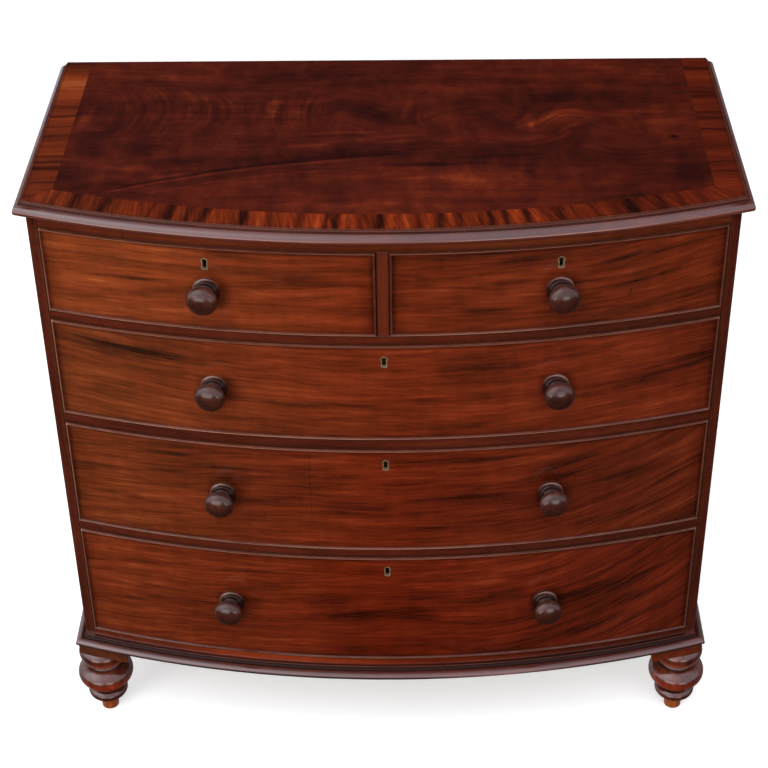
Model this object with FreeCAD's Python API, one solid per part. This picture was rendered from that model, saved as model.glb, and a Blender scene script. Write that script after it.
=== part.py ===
import FreeCAD, Part
import math
import os
from FreeCAD import Vector

# Bow front chest of drawers: two short drawers over three long graduated ones,
# cockbeaded fronts, turned wooden knobs, moulded and crossbanded top, base
# moulding and four turned feet.
#
# Millimetres. +Z up, +X to the right of someone facing the front, and the
# front faces -Y. The geometry is laid out with y = 0 at the foremost line of
# the carcase front, and is moved at the end so that the origin is on the floor
# under the middle of the whole chest, knobs included.

os.makedirs("parts", exist_ok=True)

# ---------------------------------------------------------------- dimensions
R_BOW = 1659.0          # plan radius of the bowed front, at the carcase face
CARC_HALF = 500.0       # half width of the carcase
SIDE_T = 15.5           # side panels and front stiles
HEIGHT = 1001.0         # floor to the top surface
CARC_BOT = 161.9        # underside of the carcase and of the base moulding
CARC_TOP = 980.4        # underside of the top
CARC_BACK = 505.0       # back of the carcase
STILE_DEPTH_Y = 98.0    # where the stiles end and the side panels begin

TOP_T = 20.6            # top, veneer included
TOP_R = 1550.0          # the top is bowed a little more than the carcase
TOP_BACK = 513.0        # back edge of the top
TOP_ARRIS = 4.0         # side overhang of the flat upper surface
TOP_ARRIS_F = 4.8       # front overhang of the flat upper surface
TOP_NOSE = 13.5         # projection of the front moulded edge past that arris
TOP_NOSE_S = 12.5       # the same at the sides
VENEER_T = 1.0
BAND_W = 40.0           # crossbanding width

RAIL_BACK = 140.0       # straight back of the bowed rails
BACK_FRONT = 495.0      # inner face of the back boards

# drawer openings, heights above the floor (bottom, top)
OPEN_1 = (823.0, 961.0)     # two short drawers
OPEN_2 = (639.5, 806.6)
OPEN_3 = (427.7, 619.8)
OPEN_4 = (197.4, 410.7)
MUNTIN_HALF = 9.1

GAP_BOT = 0.4           # drawer clearances in its opening
GAP_TOP = 0.6
GAP_SIDE = 0.8
FRONT_T = 24.0          # drawer front thickness
BEAD_W = 3.0            # cockbead thickness
BEAD_OUT = 2.5          # cockbead projection
BEAD_DEEP = 10.0        # depth of the cockbead's rebate
BOX_T = 10.0            # drawer side thickness
BOX_BACK = 488.0        # back face of the drawer boxes
BOX_BACK_T = 9.0
BOTTOM_T = 6.0
BOTTOM_UP = 8.0         # drawer bottom above the lower edge of the sides
TAIL_DEEP = 11.2        # lapped dovetails at the front, short of the cockbead

KNOB_X = 247.0          # knob centres from the middle of the chest
KNOB_LOW = -2.2         # short drawers' knobs, from the middle of their fronts
LOCK_DROP = 27.8        # key pin below the top edge of the drawer front
LOCK_HALF = 30.0
LOCK_H = 42.0
BOLT_HALF = 10.0
BOLT_H = 16.0
BOLT_LIFT = 6.0

MOULD_H = 18.1          # base moulding height
MOULD_OUT = 17.5        # base moulding projection
BLOCK_H = 18.8          # foot blocks
BLOCK_X0 = 430.0
BLOCK_X1 = 514.0
BLOCK_OUT = 11.5        # block projection past the carcase front
FOOT_X = 480.0
FOOT_Y = 95.0           # front feet
FOOT_YB = 463.0         # back feet
Y_SHIFT = -245.435      # layout frame to the part's own frame

AX = Vector(0, R_BOW, 0)
AX_TOP = Vector(0, TOP_R, 0)
ZV = Vector(0, 0, 1)
parts = {}


# ---------------------------------------------------------------- helpers
def yf(x, off=0.0, r=R_BOW):
    """Depth of the bowed face at x, for a face moved forward by off."""
    return r - math.sqrt((r + off) ** 2 - x * x)


def box(x0, x1, y0, y1, z0, z1):
    return Part.makeBox(x1 - x0, y1 - y0, z1 - z0, Vector(x0, y0, z0))


def wire(items):
    """Closed wire from points; a tuple (mid, end) makes an arc to end."""
    edges = []
    first = items[0]
    prev = first
    for it in items[1:]:
        if isinstance(it, tuple):
            mid, end = it
            edges.append(Part.Arc(prev, mid, end).toShape())
            prev = end
        else:
            edges.append(Part.LineSegment(prev, it).toShape())
            prev = it
    if prev.distanceToPoint(first) > 1e-6:
        edges.append(Part.LineSegment(prev, first).toShape())
    return Part.Wire(edges)


def bowed(off, x0, x1, yb, z0, z1, r=R_BOW):
    """Board with a bowed front and a straight back."""
    xm = 0.5 * (x0 + x1)
    w = wire([Vector(x0, yf(x0, off, r), z0),
              (Vector(xm, yf(xm, off, r), z0), Vector(x1, yf(x1, off, r), z0)),
              Vector(x1, yb, z0), Vector(x0, yb, z0)])
    return Part.Face(w).extrude(Vector(0, 0, z1 - z0))


def bowed_slab(o_out, o_in, x0, x1, z0, z1):
    """Board bowed on both faces."""
    xm = 0.5 * (x0 + x1)
    w = wire([Vector(x0, yf(x0, o_out), z0),
              (Vector(xm, yf(xm, o_out), z0), Vector(x1, yf(x1, o_out), z0)),
              Vector(x1, yf(x1, o_in), z0),
              (Vector(xm, yf(xm, o_in), z0), Vector(x0, yf(x0, o_in), z0))])
    return Part.Face(w).extrude(Vector(0, 0, z1 - z0))


def facets(items, step=1.6):
    """Turn a section's arcs into short chords, so that mitred runs meet exactly.

    items holds (u, v) pairs, and ((u, v), (u, v)) pairs of pairs for arcs
    given by a middle point and an end.
    """
    out = []
    for it in items:
        if not isinstance(it[0], tuple):
            out.append(it)
            continue
        a, m, b = out[-1], it[0], it[1]
        arc = Part.Arc(Vector(a[0], a[1], 0), Vector(m[0], m[1], 0), Vector(b[0], b[1], 0)).toShape()
        n = max(3, int(math.ceil(arc.Length / step)))
        pts = arc.discretize(n + 1)
        if pts[0].distanceToPoint(Vector(a[0], a[1], 0)) > pts[-1].distanceToPoint(Vector(a[0], a[1], 0)):
            pts = pts[::-1]
        out += [(p.x, p.y) for p in pts[1:-1]] + [b]
    return out


def swept_bow(items, a0, a1, step=1.6, axis=AX):
    """Section (off, z) carried along the bow between two angles in degrees."""
    f = Part.Face(wire([Vector(0, -q[0], q[1]) for q in facets(items, step)]))
    f.rotate(axis, ZV, a0)
    return f.revolve(axis, ZV, a1 - a0)


def along_y(items, y0, y1, step=1.6):
    """Section in the XZ plane carried along Y."""
    f = Part.Face(wire([Vector(q[0], y0, q[1]) for q in facets(items, step)]))
    return f.extrude(Vector(0, y1 - y0, 0))


def prism_xz(pts, y0, y1):
    return along_y(pts, y0, y1)


def prism_xy(pts, z0, z1):
    w = wire([Vector(p[0], p[1], z0) for p in pts])
    return Part.Face(w).extrude(Vector(0, 0, z1 - z0))


def prism_yz(pts, x0, x1):
    w = wire([Vector(x0, p[0], p[1]) for p in pts])
    return Part.Face(w).extrude(Vector(x1 - x0, 0, 0))


def on_bow(shape, x):
    """Turn a shape built at x = 0 to stand square on the bowed face at x."""
    s = shape.copy()
    s.rotate(AX, ZV, math.degrees(math.asin(x / R_BOW)))
    return s


def mirror_x(shape):
    return shape.mirror(Vector(0, 0, 0), Vector(1, 0, 0))


def both_edges(items):
    """Whole section across the piece from its right-hand edge section.

    items starts and ends on the middle of the piece; its mirror image is
    traced back on the left.
    """
    path = items[1:-1]
    pts = [it[1] if isinstance(it[0], tuple) else it for it in path]
    back = []
    for i in range(len(path) - 1, -1, -1):
        p = (-pts[i][0], pts[i][1])
        if i == len(path) - 1 or not isinstance(path[i + 1][0], tuple):
            back.append(p)
        else:
            m = path[i + 1][0]
            back.append(((-m[0], m[1]), p))
    return path + back


def solids(*shapes):
    out = []
    for s in shapes:
        if isinstance(s, (list, tuple)):
            out.extend(solids(*s))
        else:
            out.extend(s.Solids)
    return out


def put(name, *shapes):
    parts[name] = solids(*shapes)


# ---------------------------------------------------------------- top
# Section of the moulded edge, from the veneered surface outwards and down:
# a small riser, a narrow ledge, a quirk, then a thumb moulding turned under.
def edge_section(start, a, n):
    """start: inner limit; a: arris position; n: nose projection past it."""
    zt = HEIGHT - VENEER_T
    return [(start, zt), (a, zt), (a, HEIGHT - 2.4),
            (a + 2.6, HEIGHT - 2.7), (a + 2.8, HEIGHT - 5.4),
            ((a + 10.4, HEIGHT - 8.4), (a + n, HEIGHT - 14.8)),
            ((a + n - 1.5, HEIGHT - 18.8), (a + n - 5.4, HEIGHT - TOP_T)),
            (start, HEIGHT - TOP_T)]


front_part = swept_bow(edge_section(-560.0, TOP_ARRIS_F, TOP_NOSE), -33.0, 33.0, axis=AX_TOP)
xa = CARC_HALF + TOP_ARRIS
side_part = along_y(both_edges(edge_section(0.0, xa, TOP_NOSE_S)), -60.0, TOP_BACK)
top_board = front_part.common((side_part,), 1e-4)
put("top_board", top_board)

oi = TOP_ARRIS_F - BAND_W
xi = xa - BAND_W
zt0 = HEIGHT - VENEER_T
put("top_field_veneer", bowed(oi, -xi, xi, TOP_BACK, zt0, HEIGHT, r=TOP_R))
ya, yi = yf(xa, TOP_ARRIS_F, TOP_R), yf(xi, oi, TOP_R)
band_front = Part.Face(wire([
    Vector(-xa, ya, zt0), (Vector(0, yf(0, TOP_ARRIS_F, TOP_R), zt0), Vector(xa, ya, zt0)),
    Vector(xi, yi, zt0), (Vector(0, yf(0, oi, TOP_R), zt0), Vector(-xi, yi, zt0)),
])).extrude(Vector(0, 0, VENEER_T))
band_right = prism_xy([(xa, ya), (xa, TOP_BACK), (xi, TOP_BACK), (xi, yi)], zt0, HEIGHT)
put("top_crossbanding", band_front, band_right, mirror_x(band_right))

# ---------------------------------------------------------------- carcase
XI = CARC_HALF - SIDE_T
side_r = box(XI, CARC_HALF, STILE_DEPTH_Y, CARC_BACK, CARC_BOT, CARC_TOP)
put("side_right", side_r)
put("side_left", mirror_x(side_r))
stile_r = bowed(0, XI, CARC_HALF, STILE_DEPTH_Y, CARC_BOT, CARC_TOP)
put("front_stiles", mirror_x(stile_r), stile_r)

rail_top = bowed(0, -XI, XI, RAIL_BACK, OPEN_1[1], CARC_TOP)
rail_u = bowed(0, -XI, XI, RAIL_BACK, OPEN_2[1], OPEN_1[0])
rail_m = bowed(0, -XI, XI, RAIL_BACK, OPEN_3[1], OPEN_2[0])
rail_l = bowed(0, -XI, XI, RAIL_BACK, OPEN_4[1], OPEN_3[0])
rail_b = bowed(0, -XI, XI, 115.0, CARC_BOT, OPEN_4[0])

# mortises that receive the lock bolts, in the underside of the rails
def bolt_mortise(x, z):
    return on_bow(box(-BOLT_HALF - 1.0, BOLT_HALF + 1.0, 13.8, 21.2, z - 1.0, z + BOLT_LIFT + 1.5), x)


for x in (-KNOB_X, KNOB_X):
    rail_top = rail_top.cut(bolt_mortise(x, OPEN_1[1]))
rail_u = rail_u.cut(bolt_mortise(0, OPEN_2[1]))
rail_m = rail_m.cut(bolt_mortise(0, OPEN_3[1]))
rail_l = rail_l.cut(bolt_mortise(0, OPEN_4[1]))
put("top_rail", rail_top)
put("drawer_rail_upper", rail_u)
put("drawer_rail_middle", rail_m)
put("drawer_rail_lower", rail_l)
put("bottom_rail", rail_b)

put("centre_muntin", bowed(0, -MUNTIN_HALF, MUNTIN_HALF, 45.0, OPEN_1[0], OPEN_1[1]))
put("centre_partition", box(-MUNTIN_HALF, MUNTIN_HALF, 45.0, BACK_FRONT, OPEN_1[0], OPEN_1[1]))

# runners under the drawer sides, kickers over the short drawers, and the
# small stops that each drawer front meets when it is home
run = []
RUN_W = 32.0
for (zb, za) in ((OPEN_2[1], OPEN_1[0]), (OPEN_3[1], OPEN_2[0]), (OPEN_4[1], OPEN_3[0])):
    b = box(XI - RUN_W, XI, RAIL_BACK, BACK_FRONT, zb, za)
    run += [b, mirror_x(b)]
run.append(box(-RUN_W, RUN_W, RAIL_BACK, BACK_FRONT, OPEN_2[1], OPEN_1[0]))
k = box(XI - 22.0, XI, RAIL_BACK, BACK_FRONT, OPEN_1[1], CARC_TOP)
run += [k, mirror_x(k), box(-RUN_W, RUN_W, RAIL_BACK, BACK_FRONT, OPEN_1[1], CARC_TOP)]
for (z, xs) in ((OPEN_1[0], (110.0, 360.0)), (OPEN_2[0], (300.0,)),
                (OPEN_3[0], (300.0,)), (OPEN_4[0], (300.0,))):
    for x in xs:
        s = bowed(-FRONT_T - 0.3, x - 18.0, x + 18.0, yf(x + 18.0, -FRONT_T) + 9.0, z, z + 6.0)
        run += [s, mirror_x(s)]
put("drawer_runners_and_stops", run)

dust = []
for (zb, za) in ((OPEN_2[1], OPEN_1[0]), (OPEN_3[1], OPEN_2[0]), (OPEN_4[1], OPEN_3[0])):
    zm = 0.5 * (zb + za)
    if za == OPEN_1[0]:
        d = box(RUN_W, XI - RUN_W, RAIL_BACK, BACK_FRONT, zm - 4.0, zm + 4.0)
        dust += [d, mirror_x(d)]
    else:
        dust.append(box(-XI + RUN_W, XI - RUN_W, RAIL_BACK, BACK_FRONT, zm - 4.0, zm + 4.0))
put("dustboards", dust)

nb = 5
bw = 2.0 * XI / nb
put("back_boards", [box(-XI + i * bw, -XI + (i + 1) * bw, BACK_FRONT, CARC_BACK, CARC_BOT, CARC_TOP)
                    for i in range(nb)])
put("bottom_board", box(-XI, XI, 115.0, BACK_FRONT, OPEN_4[0] - 12.0, OPEN_4[0]))

# ---------------------------------------------------------------- base moulding
# A narrow fillet against the carcase, a small cove, then a thumb moulding.
def base_section(start, a):
    zt = CARC_BOT + MOULD_H
    return [(start, zt), (a + 1.8, zt), (a + 2.0, zt - 1.7),
            ((a + 3.0, zt - 4.9), (a + 7.0, zt - 5.8)),
            ((a + 14.3, zt - 7.7), (a + MOULD_OUT, zt - 12.0)),
            ((a + MOULD_OUT - 2.2, CARC_BOT + 2.3), (a + MOULD_OUT - 6.5, CARC_BOT)),
            (start, CARC_BOT)]


bf = swept_bow(base_section(-200.0, 0.0), -22.0, 22.0)
bs = along_y(base_section(CARC_HALF, CARC_HALF), -60.0, CARC_BACK)
inner = bowed(0, -CARC_HALF, CARC_HALF, CARC_BACK + 5.0, CARC_BOT - 5.0, CARC_BOT + MOULD_H + 5.0)
p0 = (CARC_HALF, yf(CARC_HALF))
p1 = (CARC_HALF + MOULD_OUT, yf(CARC_HALF + MOULD_OUT, MOULD_OUT))
p2 = (p0[0] + 2.0 * (p1[0] - p0[0]), p0[1] + 2.0 * (p1[1] - p0[1]))
front_zone = prism_xy([(-p0[0], p0[1]), (-p2[0], p2[1]), (-p2[0], -80.0), (p2[0], -80.0),
                       (p2[0], p2[1]), (p0[0], p0[1])], CARC_BOT - 5.0, CARC_BOT + MOULD_H + 5.0)
mould_front = bf.common(front_zone).cut(inner)
side_zone = prism_xy([(p0[0], p0[1]), (p2[0], p2[1]), (p2[0], CARC_BACK), (p0[0], CARC_BACK)],
                     CARC_BOT - 5.0, CARC_BOT + MOULD_H + 5.0)
mould_right = bs.common(side_zone)
put("base_moulding", mould_front, mould_right, mirror_x(mould_right))

# ---------------------------------------------------------------- feet
tenon_r = 13.0
tenon = Part.makeCylinder(tenon_r, BLOCK_H, Vector(FOOT_X, FOOT_Y, CARC_BOT - BLOCK_H))
blk = bowed(BLOCK_OUT, BLOCK_X0, BLOCK_X1, RAIL_BACK, CARC_BOT - BLOCK_H, CARC_BOT).cut(tenon)
tenon_b = Part.makeCylinder(tenon_r, BLOCK_H, Vector(FOOT_X, FOOT_YB, CARC_BOT - BLOCK_H))
blk_b = box(BLOCK_X0, BLOCK_X1, CARC_BACK - 84.0, CARC_BACK, CARC_BOT - BLOCK_H, CARC_BOT).cut(tenon_b)
put("foot_blocks", blk, mirror_x(blk), blk_b, mirror_x(blk_b))

ZT = CARC_BOT - BLOCK_H
foot_wire = wire([
    Vector(0, 0, 0), Vector(12.6, 0, 0),
    (Vector(13.7, 0, 0.5), Vector(14.0, 0, 1.8)),
    Vector(15.4, 0, 27.0),
    Vector(21.0, 0, 30.6),
    (Vector(32.9, 0, 41.0), Vector(25.0, 0, 51.0)),
    (Vector(23.0, 0, 54.5), Vector(26.0, 0, 58.6)),
    Vector(27.8, 0, 60.6),
    (Vector(45.8, 0, 81.8), Vector(27.8, 0, 103.0)),
    Vector(27.0, 0, 105.0),
    (Vector(26.2, 0, 109.6), Vector(30.5, 0, 113.4)),
    Vector(35.8, 0, 113.8), Vector(36.2, 0, 117.0),
    (Vector(40.2, 0, 128.2), Vector(35.0, 0, ZT - 1.0)),
    Vector(31.0, 0, ZT),
    Vector(tenon_r, 0, ZT), Vector(tenon_r, 0, CARC_BOT), Vector(0, 0, CARC_BOT)])
foot = Part.Face(foot_wire).revolve(Vector(0, 0, 0), ZV, 360.0)


def moved(s, x, y, z=0.0):
    c = s.copy()
    c.translate(Vector(x, y, z))
    return c


put("turned_feet", moved(foot, -FOOT_X, FOOT_Y), moved(foot, FOOT_X, FOOT_Y),
    moved(foot, -FOOT_X, FOOT_YB), moved(foot, FOOT_X, FOOT_YB))


# ---------------------------------------------------------------- drawers
def keyhole(rr, w0, w1, up, down, y0, y1):
    """Keyhole outline: a round head over a skirt that splays downwards."""
    head = Part.makeCylinder(rr, y1 - y0, Vector(0, y0, up), Vector(0, 1, 0))
    skirt = prism_xz([(-w0, up), (w0, up), (w1, -down + 1.2), (w1 - 1.2, -down),
                      (-w1 + 1.2, -down), (-w1, -down + 1.2)], y0, y1)
    return head.fuse(skirt).removeSplitter()


def knob_shape():
    """Turned mushroom knob on a flange, with its dowel, built along -Y."""
    w = wire([
        Vector(0, FRONT_T, 0), Vector(7.0, FRONT_T, 0), Vector(7.0, 0, 0),
        Vector(18.9, 0, 0),
        (Vector(20.0, -1.9, 0), Vector(18.6, -3.8, 0)),
        Vector(16.6, -4.4, 0),
        (Vector(15.6, -6.2, 0), Vector(13.0, -7.0, 0)),
        (Vector(9.2, -12.5, 0), Vector(12.2, -18.0, 0)),
        Vector(13.6, -18.4, 0), Vector(13.9, -20.2, 0),
        (Vector(19.6, -22.0, 0), Vector(22.2, -27.0, 0)),
        (Vector(22.5, -29.0, 0), Vector(22.0, -31.0, 0)),
        (Vector(19.2, -35.5, 0), Vector(14.0, -38.2, 0)),
        (Vector(8.0, -39.85, 0), Vector(1.6, -40.55, 0)),
        Vector(0, -40.55, 0)])
    return Part.Face(w).revolve(Vector(0, 0, 0), Vector(0, 1, 0), 360.0)


KNOB = knob_shape()


def cockbeads(x0, x1, z0, z1):
    """Four mitred strips with half-round noses, let into the front's edges."""
    w, d, o = BEAD_W, BEAD_DEEP, BEAD_OUT
    t0 = math.degrees(math.asin(x0 / R_BOW)) - 0.6
    t1 = math.degrees(math.asin(x1 / R_BOW)) + 0.6
    out = []

    def zone(pts):
        return prism_xz(pts, -60.0, 220.0)
    hi = swept_bow([(-d, z1 - w), (o - 1.5, z1 - w), ((o, z1 - w / 2.0), (o - 1.5, z1)), (-d, z1)], t0, t1)
    lo = swept_bow([(-d, z0), (o - 1.5, z0), ((o, z0 + w / 2.0), (o - 1.5, z0 + w)), (-d, z0 + w)], t0, t1)
    out.append(hi.common(zone([(x0, z1), (x1, z1), (x1 - w, z1 - w), (x0 + w, z1 - w)])))
    out.append(lo.common(zone([(x0, z0), (x0 + w, z0 + w), (x1 - w, z0 + w), (x1, z0)])))
    for (xa_, xb_, zone_) in ((x0, x0 + w, [(x0, z0), (x0, z1), (x0 + w, z1 - w), (x0 + w, z0 + w)]),
                              (x1 - w, x1, [(x1, z0), (x1, z1), (x1 - w, z1 - w), (x1 - w, z0 + w)])):
        xm = 0.5 * (xa_ + xb_)
        f = Part.Face(wire([
            Vector(xa_, yf(xa_, -d), z0), Vector(xa_, yf(xa_, o - 1.5), z0),
            (Vector(xm, yf(xm, o), z0), Vector(xb_, yf(xb_, o - 1.5), z0)),
            Vector(xb_, yf(xb_, -d), z0)]))
        out.append(f.extrude(Vector(0, 0, z1 - z0)).common(zone(zone_)))
    return out


def tails(x0, x1, y0, y1, z0, z1, n, flare_at_y0):
    """Dovetail prisms spread over a height, wider at one end."""
    pitch = (z1 - z0) / n
    out = []
    for i in range(n):
        zc = z0 + (i + 0.5) * pitch
        big, small = pitch * 0.36, pitch * 0.36 - 2.6
        a, b = (big, small) if flare_at_y0 else (small, big)
        out.append(prism_yz([(y0, zc - a), (y0, zc + a), (y1, zc + b), (y1, zc - b)], x0, x1))
    return out


def make_drawer(name, x0, x1, z0, z1, knob_xs, lock_x, n_tails):
    xs0, xs1 = x0 + 0.3, x1 - 0.3          # outer faces of the drawer sides
    xi0, xi1 = xs0 + BOX_T, xs1 - BOX_T    # inner faces
    side_top = z1 - 4.0
    slab = bowed_slab(0, -FRONT_T, x0, x1, z0, z1)
    beads = cockbeads(x0, x1, z0, z1)
    bottom = bowed(-FRONT_T + 5.0, xi0 - 4.0, xi1 + 4.0, BOX_BACK, z0 + BOTTOM_UP, z0 + BOTTOM_UP + BOTTOM_T)

    # back, housed with through dovetails
    bz0, bz1 = z0 + BOTTOM_UP + BOTTOM_T, z1 - 14.0
    back = box(xs0, xs1, BOX_BACK - BOX_BACK_T, BOX_BACK, bz0, bz1)
    sides = []
    front_tails = []
    for (a, b) in ((xs0, xi0), (xi1, xs1)):
        bt = tails(a, b, BOX_BACK - BOX_BACK_T, BOX_BACK, bz0, bz1, n_tails, False)
        pins = box(a, b, BOX_BACK - BOX_BACK_T, BOX_BACK, bz0, bz1)
        for t in bt:
            pins = pins.cut(t)
            back = back.cut(t)
        yo = max(yf(a, -FRONT_T), yf(b, -FRONT_T))
        ym = min(yf(a, -FRONT_T), yf(b, -FRONT_T))
        s = box(a, b, ym - 6.0, BOX_BACK, z0, side_top).cut(slab).cut(pins)
        ft = tails(a, b, ym - TAIL_DEEP, yo + 1.5, z0 + 4.0, side_top - 4.0, n_tails, True)
        for t in ft:
            s = s.fuse(t)
        front_tails += ft
        s = s.removeSplitter().cut(bottom)
        sides.append(s)

    front = slab
    for b_ in beads:
        front = front.cut(b_)
    for t in front_tails:
        front = front.cut(t)
    front = front.cut(bottom)

    # knobs, a little lower than the others on the short drawers
    zk = 0.5 * (z0 + z1) + (0.8 if len(knob_xs) == 2 else KNOB_LOW)
    knobs = []
    for x in knob_xs:
        kn = KNOB.copy()
        kn.translate(Vector(0, 0, zk))
        knobs.append(on_bow(kn, x))
        hole = Part.makeCylinder(7.0, FRONT_T + 4.0, Vector(0, -2.0, zk), Vector(0, 1, 0))
        front = front.cut(on_bow(hole, x))

    # lock let into the back of the front, flush with its upper edge
    zkey = z1 - LOCK_DROP
    case0 = box(-LOCK_HALF, LOCK_HALF, 12.0, FRONT_T, z1 - LOCK_H, z1)
    slot = box(-BOLT_HALF - 0.3, BOLT_HALF + 0.3, 14.7, 20.3, z1 - BOLT_H - 1.0, z1 + 1.0)
    kin = keyhole(3.9, 2.7, 3.3, 4.4, 8.1, -3.0, 22.0)
    kout = keyhole(5.2, 4.0, 4.6, 4.4, 9.4, -0.35, 6.0)
    kout_cut = keyhole(5.2, 4.0, 4.6, 4.4, 9.4, -3.0, 6.0)
    for s in (kin, kout, kout_cut):
        s.translate(Vector(0, 0, zkey))
    pin = Part.makeCylinder(1.3, 16.5, Vector(0, 6.0, zkey + 4.4), Vector(0, 1, 0))
    case = case0.cut(slot).cut(kin).fuse(pin).removeSplitter()
    bolt = box(-BOLT_HALF, BOLT_HALF, 15.0, 20.0, z1 - BOLT_H, z1 - 0.3)
    escutcheon = kout.cut(kin)
    recess = box(-LOCK_HALF, LOCK_HALF, 12.0, FRONT_T + 6.0, z1 - LOCK_H, z1 + 3.0)
    front = front.cut(on_bow(recess, lock_x)).cut(on_bow(kin, lock_x)).cut(on_bow(kout_cut, lock_x))

    put(name + "_front", front)
    put(name + "_cockbead", beads)
    put(name + "_sides_and_back", sides, back)
    put(name + "_bottom", bottom)
    put(name + ("_knob" if len(knobs) == 1 else "_knobs"), knobs)
    put(name + "_lock", on_bow(case, lock_x))
    put(name + "_lock_bolt", on_bow(bolt, lock_x))
    put(name + "_escutcheon", on_bow(escutcheon, lock_x))


XO = XI - GAP_SIDE
XM = MUNTIN_HALF + GAP_SIDE
make_drawer("short_left", -XO, -XM, OPEN_1[0] + GAP_BOT, OPEN_1[1] - GAP_TOP, (-KNOB_X,), -KNOB_X, 3)
make_drawer("short_right", XM, XO, OPEN_1[0] + GAP_BOT, OPEN_1[1] - GAP_TOP, (KNOB_X,), KNOB_X, 3)
make_drawer("upper_long", -XO, XO, OPEN_2[0] + GAP_BOT, OPEN_2[1] - GAP_TOP, (-KNOB_X, KNOB_X), 0.0, 3)
make_drawer("middle_long", -XO, XO, OPEN_3[0] + GAP_BOT, OPEN_3[1] - GAP_TOP, (-KNOB_X, KNOB_X), 0.0, 4)
make_drawer("bottom_long", -XO, XO, OPEN_4[0] + GAP_BOT, OPEN_4[1] - GAP_TOP, (-KNOB_X, KNOB_X), 0.0, 4)

# ---------------------------------------------------------------- write
total = 0
lo = [1e9] * 3
hi_ = [-1e9] * 3
for name, sl in parts.items():
    moved_sl = []
    for s in sl:
        c = s.copy()
        c.translate(Vector(0, Y_SHIFT, 0))
        if not c.isValid() or c.Volume < 1.0:
            print("BAD", name, c.isValid(), c.Volume)
        moved_sl.append(c)
    shape = moved_sl[0] if len(moved_sl) == 1 else Part.Compound(moved_sl)
    bb = shape.optimalBoundingBox()
    for i, (a, b) in enumerate(((bb.XMin, bb.XMax), (bb.YMin, bb.YMax), (bb.ZMin, bb.ZMax))):
        lo[i] = min(lo[i], a)
        hi_[i] = max(hi_[i], b)
    shape.exportStep("parts/%s.step" % name)
    total += len(moved_sl)
    print("%-32s solids %2d  x %.1f..%.1f y %.1f..%.1f z %.1f..%.1f" % (
        name, len(moved_sl), bb.XMin, bb.XMax, bb.YMin, bb.YMax, bb.ZMin, bb.ZMax))
print("nodes", len(parts), "solids", total)
print("box", [round(v, 3) for v in lo], [round(v, 3) for v in hi_])
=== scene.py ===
import math

import bpy
import numpy as np
from mathutils import Matrix, Vector


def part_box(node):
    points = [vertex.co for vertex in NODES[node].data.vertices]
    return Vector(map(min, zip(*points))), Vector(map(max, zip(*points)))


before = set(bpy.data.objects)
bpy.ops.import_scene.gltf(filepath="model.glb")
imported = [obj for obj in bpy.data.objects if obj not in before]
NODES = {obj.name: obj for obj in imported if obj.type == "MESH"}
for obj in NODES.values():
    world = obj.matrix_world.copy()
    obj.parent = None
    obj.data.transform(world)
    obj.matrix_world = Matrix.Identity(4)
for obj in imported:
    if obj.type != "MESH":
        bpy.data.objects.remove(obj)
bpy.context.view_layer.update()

R_BOW = 1.659                     # radius of the bowed front
R_TOP = 1.550                     # and of the top board
APEX = -0.245435                  # the bow's apex on Y
DRAWERS = ("short_left", "short_right", "upper_long", "middle_long", "bottom_long")


# ---------------------------------------------------------------- mesh finish
def solid_numbers(me):
    """Numbers the closed solids of a node. Faces that share an edge which no third face has are one solid."""
    nv, npoly = len(me.vertices), len(me.polygons)
    co = np.empty(nv * 3, np.float32)
    me.vertices.foreach_get("co", co)
    co = np.round(co.reshape(-1, 3) * 1e6).astype(np.int64)
    vi = np.empty(npoly * 3, np.int32)
    me.polygons.foreach_get("vertices", vi)
    tri = vi.reshape(-1, 3)
    up = list(range(nv))

    def find(a):
        while up[a] != a:
            up[a] = up[up[a]]
            a = up[a]
        return a
    count = {}
    for a, b, c in tri.tolist():
        for p, q in ((a, b), (b, c), (c, a)):
            ra, rb = find(p), find(q)
            if ra != rb:
                up[ra] = rb
            e = (p, q) if p < q else (q, p)
            count[e] = count.get(e, 0) + 1
    rim = {}
    for (p, q), n in count.items():
        if n == 1:
            kp, kq = tuple(co[p].tolist()), tuple(co[q].tolist())
            rim.setdefault((kp, kq) if kp < kq else (kq, kp), []).append((p, q))
    for pairs in rim.values():
        if len(pairs) == 2:
            ra, rb = find(pairs[0][0]), find(pairs[1][0])
            if ra != rb:
                up[ra] = rb
    roots, out = {}, np.empty(nv, np.float32)
    for i in range(nv):
        out[i] = roots.setdefault(find(i), len(roots))
    return out, len(roots)


def mark_boards(name, across=False):
    """Gives each solid of a node its own number and its grain direction, along its longest side or its next longest."""
    me = NODES[name].data
    ids, n = solid_numbers(me)
    co = np.empty(len(me.vertices) * 3, np.float32)
    me.vertices.foreach_get("co", co)
    co = co.reshape(-1, 3)
    grain = np.zeros_like(co)
    for k in range(n):
        pick = ids == k
        size = co[pick].max(0) - co[pick].min(0)
        order = np.argsort(size)
        grain[pick, order[1] if across else order[2]] = 1.0
    a = me.attributes.new("solid", "FLOAT", "POINT")
    a.data.foreach_set("value", ids.astype(np.float32))
    g = me.attributes.new("grain", "FLOAT_VECTOR", "POINT")
    g.data.foreach_set("vector", grain.ravel())
    return n


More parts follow.
